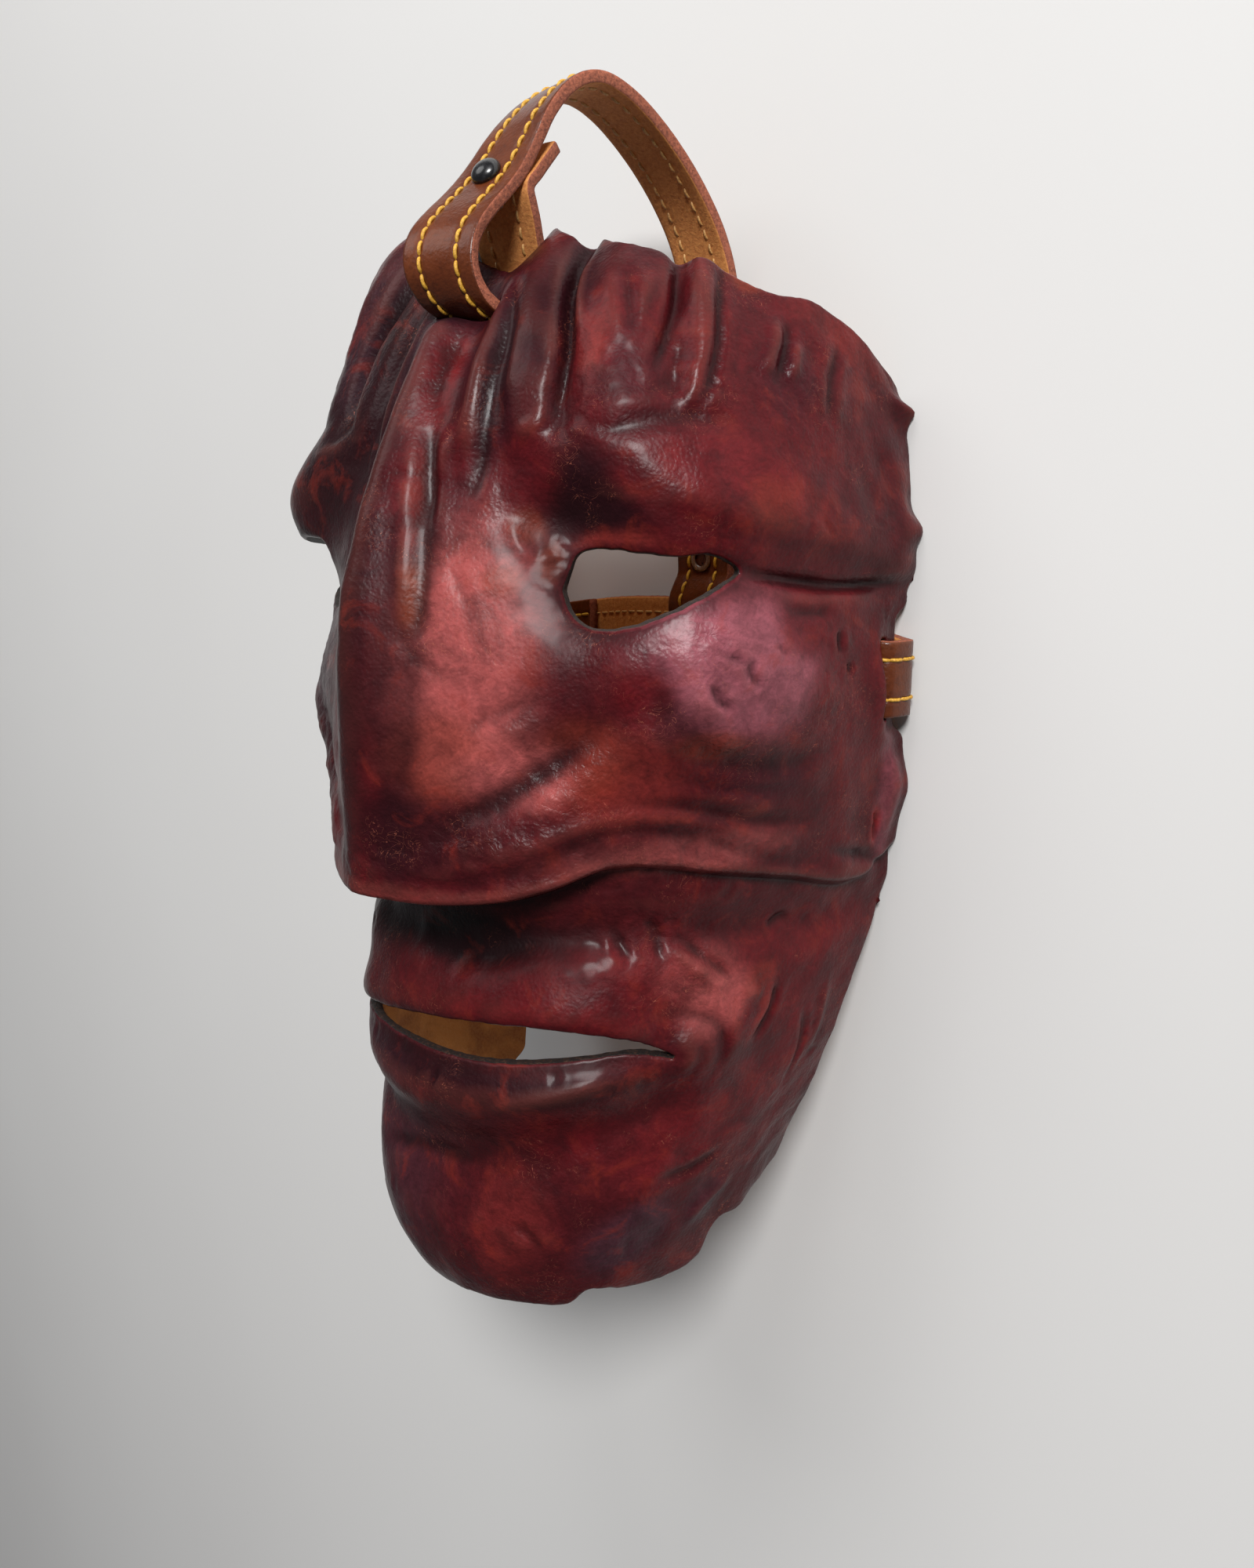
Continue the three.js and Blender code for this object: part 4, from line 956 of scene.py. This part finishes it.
def dyedLeatherFinish():
    # vegetable tanned hide, soaked, moulded and rubbed with spirit dye: a satin sheen on uneven
    # red, brown and purple, with painted shade near black in the creases and hollows, a painted
    # pale sheen on the ridges, and fine pale cracks in the finish
    material, tree, shader, place = newMaterial("vegTannedDyedLeather", {
        "IOR": 1.48, "Specular IOR Level": 0.13, "Coat Weight": 0.08, "Coat Roughness": 0.2})
    dyeAndPaintedLightColour = addNode(tree, "ShaderNodeAttribute", attribute_name="dyeAndPaintedLight").outputs["Color"]
    creaseShade, shadeAndSheen, rough, rubbed = (addNode(tree, "ShaderNodeAttribute", attribute_name=name).outputs["Fac"]
                                     for name in ("creaseShade", "shadeAndSheen", "rough", "matt"))

    streak = addNode(tree, "ShaderNodeTexNoise", {"Vector": place, "Scale": per(2.6), "Detail": 4,
                                                  "Roughness": 0.7, "Distortion": 1.2})
    tone = addNode(tree, "ShaderNodeMapRange", {0: streak, 1: 0.3, 2: 0.7, 3: 0.78, 4: 1.25})
    streaked = addNode(tree, "ShaderNodeVectorMath", {0: dyeAndPaintedLightColour, "Scale": tone}, operation="SCALE")
    mottle = addNode(tree, "ShaderNodeTexNoise", {"Vector": place, "Scale": per(11), "Detail": 5,
                                                  "Roughness": 0.62, "Distortion": 0.6})
    colour = layered(tree, streaked, [
        (mottle, 0.45, 0.68, 0.5, "#1e080c"), (mottle, 0.44, 0.3, 0.4, "#74241a"),
        # painted shade near black in the creases and dark in the hollows, and a painted pale sheen on the
        # ridges
        (creaseShade, 0.1, 1.5, 0.75, "#120608"), (shadeAndSheen, -0.05, -0.9, 0.5, "#160709"),
        (shadeAndSheen, 0.15, 1.0, 0.16, "#8a4a40")])
    # cracks run where a noise crosses its middle, and show only in some patches
    thin = addNode(tree, "ShaderNodeTexNoise", {"Vector": place, "Scale": per(5), "Detail": 2,
                                                "Distortion": 2.5})
    away = addNode(tree, "ShaderNodeMath", {0: thin, 1: 0.5}, operation="SUBTRACT")
    apart = addNode(tree, "ShaderNodeMath", {0: away}, operation="ABSOLUTE")
    line = addNode(tree, "ShaderNodeMapRange", {0: apart, 1: 0.001, 2: 0.006, 3: 1, 4: 0})
    patch = addNode(tree, "ShaderNodeTexNoise", {"Vector": place, "Scale": per(17), "Detail": 2})
    worn = addNode(tree, "ShaderNodeMapRange", {0: patch, 1: 0.54, 2: 0.64, 3: 0, 4: 0.5})
    crack = addNode(tree, "ShaderNodeMath", {0: line, 1: worn}, operation="MULTIPLY")
    cracked = addNode(tree, "ShaderNodeMix", {0: crack, 6: colour, 7: "#a8604c"}, data_type="RGBA")
    tree.links.new(cracked.outputs[2], shader.inputs["Base Color"])

    satin = addNode(tree, "ShaderNodeTexNoise", {"Vector": place, "Scale": per(16), "Detail": 4,
                                                 "Roughness": 0.65})
    gloss = addNode(tree, "ShaderNodeMapRange", {0: satin, 1: 0.3, 2: 0.7, 3: 0.28, 4: 0.45})
    duller = addNode(tree, "ShaderNodeMath", {0: rubbed, 1: 0.38, 2: gloss}, operation="MULTIPLY_ADD")
    tree.links.new(duller.outputs[0], shader.inputs["Roughness"])
    crinkle = addNode(tree, "ShaderNodeTexNoise", {"Vector": place, "Scale": per(3), "Detail": 3,
                                                   "Roughness": 0.6, "Distortion": 0.4})
    depth = addNode(tree, "ShaderNodeMapRange", {0: rough, 1: 0.05, 2: 0.6, 3: 0.35, 4: 1.4})
    relief = addNode(tree, "ShaderNodeMath", {0: crinkle, 1: depth}, operation="MULTIPLY")
    wrinkled = addNode(tree, "ShaderNodeBump", {"Height": relief, "Distance": 0.5 * mm})
    cells = addNode(tree, "ShaderNodeTexVoronoi", {"Vector": place, "Scale": per(0.9)},
                    feature="SMOOTH_F1").outputs["Distance"]
    grain = addNode(tree, "ShaderNodeBump", {"Height": cells, "Distance": 0.14 * mm, "Strength": 0.7,
                                             "Normal": wrinkled})
    tree.links.new(grain.outputs[0], shader.inputs["Normal"])
    return material


def fleshSideFinish():
    # the undyed flesh side of the hide, matt and fibrous, stained where the dye came through
    material, tree, shader, place = newMaterial("hideFleshSide", {"Roughness": 0.85})
    stain = addNode(tree, "ShaderNodeTexNoise", {"Vector": place, "Scale": per(22), "Detail": 4,
                                                 "Roughness": 0.6, "Distortion": 0.8})
    nap = addNode(tree, "ShaderNodeTexNoise", {"Vector": place, "Scale": per(0.8), "Detail": 4,
                                               "Roughness": 0.7})
    colour = layered(tree, "#c8823f", [(stain, 0.42, 0.6, 1, "#9a5a2c"), (nap, 0.3, 0.7, 0.4, "#dba15e")])
    tree.links.new(colour, shader.inputs["Base Color"])
    bump = addNode(tree, "ShaderNodeBump", {"Height": nap, "Distance": 0.3 * mm})
    tree.links.new(bump.outputs[0], shader.inputs["Normal"])
    return material


def strapGrainFinish():
    # bridle leather: smooth waxed grain, warm brown, with a crisp gloss where it bends
    material, tree, shader, place = newMaterial("waxedBridleLeather", {
        "IOR": 1.5, "Specular IOR Level": 0.28, "Coat Weight": 0.16, "Coat Roughness": 0.16})
    cloud = addNode(tree, "ShaderNodeTexNoise", {"Vector": place, "Scale": per(14), "Detail": 4,
                                                 "Roughness": 0.6})
    speck = addNode(tree, "ShaderNodeTexNoise", {"Vector": place, "Scale": per(1.6), "Detail": 3,
                                                 "Roughness": 0.6})
    colour = layered(tree, "#481e0c", [(cloud, 0.3, 0.7, 1, "#602e14"), (speck, 0.5, 0.75, 0.5, "#2f1208")])
    tree.links.new(colour, shader.inputs["Base Color"])
    gloss = addNode(tree, "ShaderNodeMapRange", {0: cloud, 1: 0.3, 2: 0.7, 3: 0.28, 4: 0.42})
    tree.links.new(gloss.outputs[0], shader.inputs["Roughness"])
    pores = addNode(tree, "ShaderNodeBump", {"Height": speck, "Distance": 0.15 * mm})
    cells = addNode(tree, "ShaderNodeTexVoronoi", {"Vector": place, "Scale": per(0.7)},
                    feature="SMOOTH_F1").outputs["Distance"]
    grain = addNode(tree, "ShaderNodeBump", {"Height": cells, "Distance": 0.1 * mm, "Strength": 0.7,
                                             "Normal": pores})
    tree.links.new(grain.outputs[0], shader.inputs["Normal"])
    return material


def floorFinish():
    # matt board painted off-white
    material, tree, shader, place = newMaterial("paintedBoard", {"Roughness": 0.75})
    tone = addNode(tree, "ShaderNodeTexNoise", {"Vector": place, "Scale": per(300), "Detail": 2})
    colour = addNode(tree, "ShaderNodeMix", {0: tone, 6: "#d9d8d6", 7: "#d2d0ce"}, data_type="RGBA")
    tree.links.new(colour.outputs[2], shader.inputs["Base Color"])
    return material


dyedLeather, fleshSide, strapGrain = dyedLeatherFinish(), fleshSideFinish(), strapGrainFinish()
# The hide where the knife cut it, inked black, with paler fibre showing through.
cutEdge = fineFinish("inkedCutEdge", {"Roughness": 0.62}, 0.9, 4, "#150d0c",
                     (0.52, 0.72, 0.8, "#5b3a28"), bump=0.35)
# Raw cut edge of the strap, salmon coloured and fibrous.
strapEdge = fineFinish("rawStrapEdge", {"Roughness": 0.8}, 0.8, 4, "#a05a40",
                       (0.35, 0.7, 1, "#5f2e1f"), bump=0.35)
# The strap's inner side: matt golden tan suede with a short nap.
strapFlesh = fineFinish("strapFleshSide", {"Roughness": 0.82}, 1, 4, "#a4622f",
                        (0.3, 0.7, 1, "#cb8a4a"), bump=0.25)
# Waxed linen thread, slightly furry, with a low gloss. On the straps' inner side it is worn pale.
thread = fineFinish("waxedLinenThread", {"Roughness": 0.5}, 0.5, 3, "#d8a63c",
                    (0.35, 0.65, 1, "#a8771f"), bump=0.15)
wornThread = fineFinish("wornLinenThread", {"Roughness": 0.5}, 0.5, 3, "#c79a5c",
                        (0.35, 0.65, 1, "#94693a"), bump=0.15)
# Steel cap under black enamel: near black and glossy, with handling scuffs.
blackCap = fineFinish("blackEnamelSteel", {"Coat Weight": 0.4, "Coat Roughness": 0.1}, 1.8, 4, "#0e0d10",
                      (0.55, 0.75, 0.5, "#3c3a3e"), gloss=(0.18, 0.38))
# Nickel plated steel, dulled by wear.
plated = fineFinish("dullNickelPlate", {"Metallic": 1.0}, 1.5, 4, "#c6c3bd",
                    (0.4, 0.7, 0.7, "#7c766c"), gloss=(0.25, 0.5))


# What repeats is made by Geometry Nodes and then kept as a plain mesh.
def newTree(name, sizes):
    tree = bpy.data.node_groups.new(name, "GeometryNodeTree")
    tree.interface.new_socket("Geometry", in_out="INPUT", socket_type="NodeSocketGeometry")
    for key, value in sizes.items():
        socket = tree.interface.new_socket(key, in_out="INPUT", socket_type="NodeSocketFloat")
        socket.default_value = value
    tree.interface.new_socket("Geometry", in_out="OUTPUT", socket_type="NodeSocketGeometry")
    return tree, addNode(tree, "NodeGroupInput").outputs


def finishTree(tree, geometry, material):
    real = addNode(tree, "GeometryNodeRealizeInstances", {0: geometry})
    smooth = addNode(tree, "GeometryNodeSetShadeSmooth", {"Geometry": real, "Shade Smooth": True})
    done = addNode(tree, "GeometryNodeSetMaterial", {"Geometry": smooth, "Material": material})
    addNode(tree, "NodeGroupOutput", {0: done})


def grown(name, points, edges, facing, tree, sizes):
    # runs the tree on a mesh of points that know which way is out, and keeps the result
    data = bpy.data.meshes.new(name + "_points")
    data.from_pydata(toScene(points).tolist(), edges, [])
    layer = data.attributes.new("facing", "FLOAT_VECTOR", "POINT")
    layer.data.foreach_set("vector", np.asarray(facing, np.float32).ravel())
    piece = bpy.data.objects.new(name + "_points", data)
    bpy.context.collection.objects.link(piece)
    modifier = piece.modifiers.new("grow", "NODES")
    modifier.node_group = tree
    sockets = {s.name: s.identifier for s in tree.interface.items_tree if s.in_out == "INPUT"}
    for key, value in sizes.items():
        modifier[sockets[key]] = value * mm
    depsgraph = bpy.context.evaluated_depsgraph_get()
    result = bpy.data.meshes.new_from_object(piece.evaluated_get(depsgraph), depsgraph=depsgraph)
    bpy.data.objects.remove(piece)
    result.name = name
    kept = bpy.data.objects.new(name, result)
    bpy.context.collection.objects.link(kept)
    return kept


stitch = {"Pitch": 3.95, "Length": 3.2, "Thread": 0.47, "Rise": 0.72}
# On the flesh side the same thread is pulled down into the nap.
innerStitch = {"Pitch": 3.95, "Length": 2.7, "Thread": 0.36, "Rise": 0.5}


def stitchTree(sizes, material):
    tree, given = newTree("stitchRow", sizes)
    curve = addNode(tree, "GeometryNodeMeshToCurve", {"Mesh": given["Geometry"]})
    spaced = addNode(tree, "GeometryNodeResampleCurve", {"Curve": curve, "Length": given["Pitch"]},
                     mode="LENGTH")
    out = addNode(tree, "GeometryNodeInputNamedAttribute", {"Name": "facing"}, data_type="FLOAT_VECTOR")
    ahead = addNode(tree, "GeometryNodeInputTangent")
    turn = addNode(tree, "FunctionNodeAxesToRotation", {0: out, 1: ahead}, primary_axis="Z",
                   secondary_axis="X")
    sunk = addNode(tree, "ShaderNodeMath", {0: given["Thread"], 1: -0.9}, operation="MULTIPLY")
    spots = {}
    for name, share, height in (("Start", -0.5, sunk), ("Start Handle", -0.425, given["Rise"]),
                                ("End Handle", 0.425, given["Rise"]), ("End", 0.5, sunk)):
        at = addNode(tree, "ShaderNodeMath", {0: given["Length"], 1: share}, operation="MULTIPLY")
        spots[name] = addNode(tree, "ShaderNodeCombineXYZ", {0: at, 2: height})
    arch = addNode(tree, "GeometryNodeCurvePrimitiveBezierSegment", {"Resolution": 7, **spots},
                   mode="POSITION")
    ring = addNode(tree, "GeometryNodeCurvePrimitiveCircle", {"Resolution": 8, "Radius": given["Thread"]})
    body = addNode(tree, "GeometryNodeCurveToMesh", {"Curve": arch, "Profile Curve": ring,
                                                     "Fill Caps": True})
    row = addNode(tree, "GeometryNodeInstanceOnPoints", {"Points": spaced, "Instance": body,
                                                         "Rotation": turn})
    finishTree(tree, row, material)
    return tree


rivetCap = {"Radius": 4.0, "Height": 2.5, "Rim": 0.45, "Post": 1.6, "Depth": 7.2}
rivetBack = {"Radius": 3.0, "Width": 0.85, "Height": 0.5}
rivetSeat = {"cap": 0.05, "back": 0.45}
# Each rivet: the middle of the strap under its cap, its way out, and the leather it clamps below.
rivets = [((-2, 159, 78), (0.17, 0.64, 0.75), 3.7), ((7.8, 65.5, 4.5), (0, 0, -1), 3.9),
          ((52, bandHeight(52), 4.5), (0, 0, -1), 3.7), ((-52, bandHeight(52), 4.5), (0, 0, -1), 3.7)]


def setOut(tree, points, body, material):
    # the body at each point, its axis along that point's way out
    out = addNode(tree, "GeometryNodeInputNamedAttribute", {"Name": "facing"}, data_type="FLOAT_VECTOR")
    turn = addNode(tree, "FunctionNodeAlignRotationToVector", {"Vector": out}, axis="Z")
    placed = addNode(tree, "GeometryNodeInstanceOnPoints", {"Points": points, "Instance": body,
                                                            "Rotation": turn})
    finishTree(tree, placed, material)
    return tree


def capTree():
    tree, given = newTree("rivetCap", rivetCap)
    ball = addNode(tree, "GeometryNodeMeshUVSphere", {"Segments": 32, "Rings": 18, "Radius": 1.0})
    spot = addNode(tree, "GeometryNodeInputPosition")
    size = addNode(tree, "ShaderNodeCombineXYZ", {0: given["Radius"], 1: given["Radius"],
                                                  2: given["Height"]})
    grownSpot = addNode(tree, "ShaderNodeVectorMath", {0: spot, 1: size}, operation="MULTIPLY")
    # below the rim the ball is cut flat
    under = addNode(tree, "ShaderNodeMath", {0: given["Rim"], 1: -1.0}, operation="MULTIPLY")
    floorAt = addNode(tree, "ShaderNodeCombineXYZ", {0: -1.0, 1: -1.0, 2: under})
    kept = addNode(tree, "ShaderNodeVectorMath", {0: grownSpot, 1: floorAt}, operation="MAXIMUM")
    raised = addNode(tree, "ShaderNodeCombineXYZ", {2: given["Rim"]})
    dome = addNode(tree, "GeometryNodeSetPosition", {"Geometry": ball, "Position": kept, "Offset": raised})
    post = addNode(tree, "GeometryNodeMeshCylinder", {"Vertices": 20, "Radius": given["Post"],
                                                      "Depth": given["Depth"]})
    deep = addNode(tree, "ShaderNodeMath", {0: given["Depth"], 1: -0.49}, operation="MULTIPLY")
    lower = addNode(tree, "ShaderNodeCombineXYZ", {2: deep})
    moved = addNode(tree, "GeometryNodeTransform", {"Geometry": post, "Translation": lower})
    both = addNode(tree, "GeometryNodeJoinGeometry")
    for part in (dome, moved):
        tree.links.new(part.outputs[0], both.inputs[0])
    return setOut(tree, given["Geometry"], both, blackCap)


def washerTree():
    tree, given = newTree("rivetWasher", rivetBack)
    path = addNode(tree, "GeometryNodeCurvePrimitiveCircle", {"Resolution": 36, "Radius": given["Radius"]})
    ring = addNode(tree, "GeometryNodeCurvePrimitiveCircle", {"Resolution": 12, "Radius": given["Width"]})
    body = addNode(tree, "GeometryNodeCurveToMesh", {"Curve": path, "Profile Curve": ring})
    flat = addNode(tree, "ShaderNodeMath", {0: given["Height"], 1: given["Width"]}, operation="DIVIDE")
    size = addNode(tree, "ShaderNodeCombineXYZ", {0: 1.0, 1: 1.0, 2: flat})
    pressed = addNode(tree, "GeometryNodeTransform", {"Geometry": body, "Scale": size})
    return setOut(tree, given["Geometry"], pressed, plated)


# The pieces.
shell = makeShell()
print("shell", len(shell.data.polygons), "faces")

crownSides = [(np.cos(np.radians(turn)), 0, -np.sin(np.radians(turn))) for *_, turn in crownLine]
halfBand = [(x, bandHeight(x), z) for x, z in bandLine]
bandStations = halfBand + [(-x, y, z) for x, y, z in halfBand[-2::-1]]
crown, crownRows = makeStrap("crown_strap_leather", [row[:3] for row in crownLine], crownSides, -1)
band, bandRows = makeStrap("rear_band_leather", bandStations, [(0, 1, 0)] * len(bandStations), 1)
print("straps", len(crown.data.polygons) + len(band.data.polygons), "faces")


def sew(name, rows, sizes, material):
    # stitches along each line, which stop short of the strap's ends
    points, edges, facing, start = [], [], [], 0
    for line, out in rows:
        line = line[2:-2]
        points.append(line)
        facing.append(out[2:-2])
        edges += [(start + k, start + k + 1) for k in range(len(line) - 1)]
        start += len(line)
    return grown(name, np.vstack(points), edges, np.vstack(facing), stitchTree(sizes, material), sizes)


seams = crownRows + bandRows
stitches = sew("strap_stitches", seams[0::2], stitch, thread)
innerStitches = sew("strap_inner_stitches", seams[1::2], innerStitch, wornThread)
print("stitches", len(stitches.data.polygons), "faces")

halfStrap = strap["thickness"] / 2
heads = [np.array(at) + np.array(out) * (halfStrap + rivetSeat["cap"]) for at, out, _ in rivets]
backs = [np.array(at) - np.array(out) * (halfStrap + clamp + rivetSeat["back"])
         for at, out, clamp in rivets]
outs = [out for _, out, _ in rivets]
caps = grown("rivet_caps", heads, [], outs, capTree(), rivetCap)
washers = grown("rivet_washers", backs, [], outs, washerTree(), rivetBack)
print("rivets", len(caps.data.polygons) + len(washers.data.polygons), "faces")

names = ("front", "rear", "right", "left")
for piece, slotName, nodes in (
        (shell, "dyed_leather", ["mask_shell"]), (crown, "strap_leather", ["crown_strap"]),
        (band, "strap_leather", ["rear_band"]), (stitches, "strap_leather", []),
        (innerStitches, "strap_leather", []),
        (caps, "black_cap", [name + "_rivet_cap" for name in names]),
        (washers, "rivet_back", [name + "_rivet_back" for name in names])):
    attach(piece, "root")
    if nodes:
        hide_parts(*nodes)

# Camera: the picture's own angle, turned down with the mask, which lies face up.
view = {"turn": 46.0, "pitch": 12.0, "distance": 372.0, "aim": (0, 0, 33), "focal": 28.8, "sensor": 36.0}
turn, pitch = np.radians(view["turn"]), np.radians(view["pitch"])
back = np.array([np.sin(turn) * np.cos(pitch), np.sin(pitch), np.cos(turn) * np.cos(pitch)])
right = np.array([np.cos(turn), 0, -np.sin(turn)])
up = np.cross(back, right)
lens = bpy.data.cameras.new("camera")
lens.sensor_fit = "VERTICAL"
lens.sensor_height = view["sensor"]
lens.lens = view["focal"]
camera = bpy.data.objects.new("camera", lens)
turned = Matrix(np.column_stack([right, up, back]).tolist()).to_4x4()
camera.matrix_world = Matrix.Translation(toScene(np.array(view["aim"]) + view["distance"] * back)) @ turned
bpy.context.collection.objects.link(camera)
bpy.context.scene.camera = camera


def softLight(name, direction, distance, size, power):
    lamp = bpy.data.lights.new(name, "AREA")
    lamp.shape = "DISK"
    lamp.size = size
    lamp.energy = power
    direction = np.array(direction, float) / np.linalg.norm(direction)
    turned = Vector(direction).to_track_quat("Z", "Y").to_matrix().to_4x4()
    light = bpy.data.objects.new(name, lamp)
    light.matrix_world = Matrix.Translation(toScene((0, 0, 50)) + direction * distance) @ turned
    bpy.context.collection.objects.link(light)
    return light


# Each lamp: the way to it, how far off and how wide it is in metres, and its watts.
softLight("key", -0.05 * right + 0.4 * up + 0.9 * back, 2.6, 0.75, 78)
softLight("left", -0.8 * right + 0.75 * up + 0.35 * back, 2.2, 1.3, 10)
# a fill for the hollow, which leaves no glare on the face
softLight("top", np.array([0.1, 1.0, 0.3]), 1.8, 0.9, 18).visible_glossy = False
world = bpy.data.worlds.new("studio")
bpy.context.scene.world = world
world.use_nodes = True
sky = world.node_tree.nodes["Background"].inputs
sky["Color"].default_value = (*linear("#eef0f4"), 1)
sky["Strength"].default_value = 0.16
bpy.context.scene.view_settings.view_transform = "Standard"

floorData = bpy.data.meshes.new("floor")
floorReach = 6.0
corners = [(floorReach * x, floorReach * y, 0) for x, y in ((-1, -1), (1, -1), (1, 1), (-1, 1))]
floorData.from_pydata(corners, [], [(0, 1, 2, 3)])
floorData.materials.append(floorFinish())
floor = bpy.data.objects.new("floor", floorData)
bpy.context.collection.objects.link(floor)
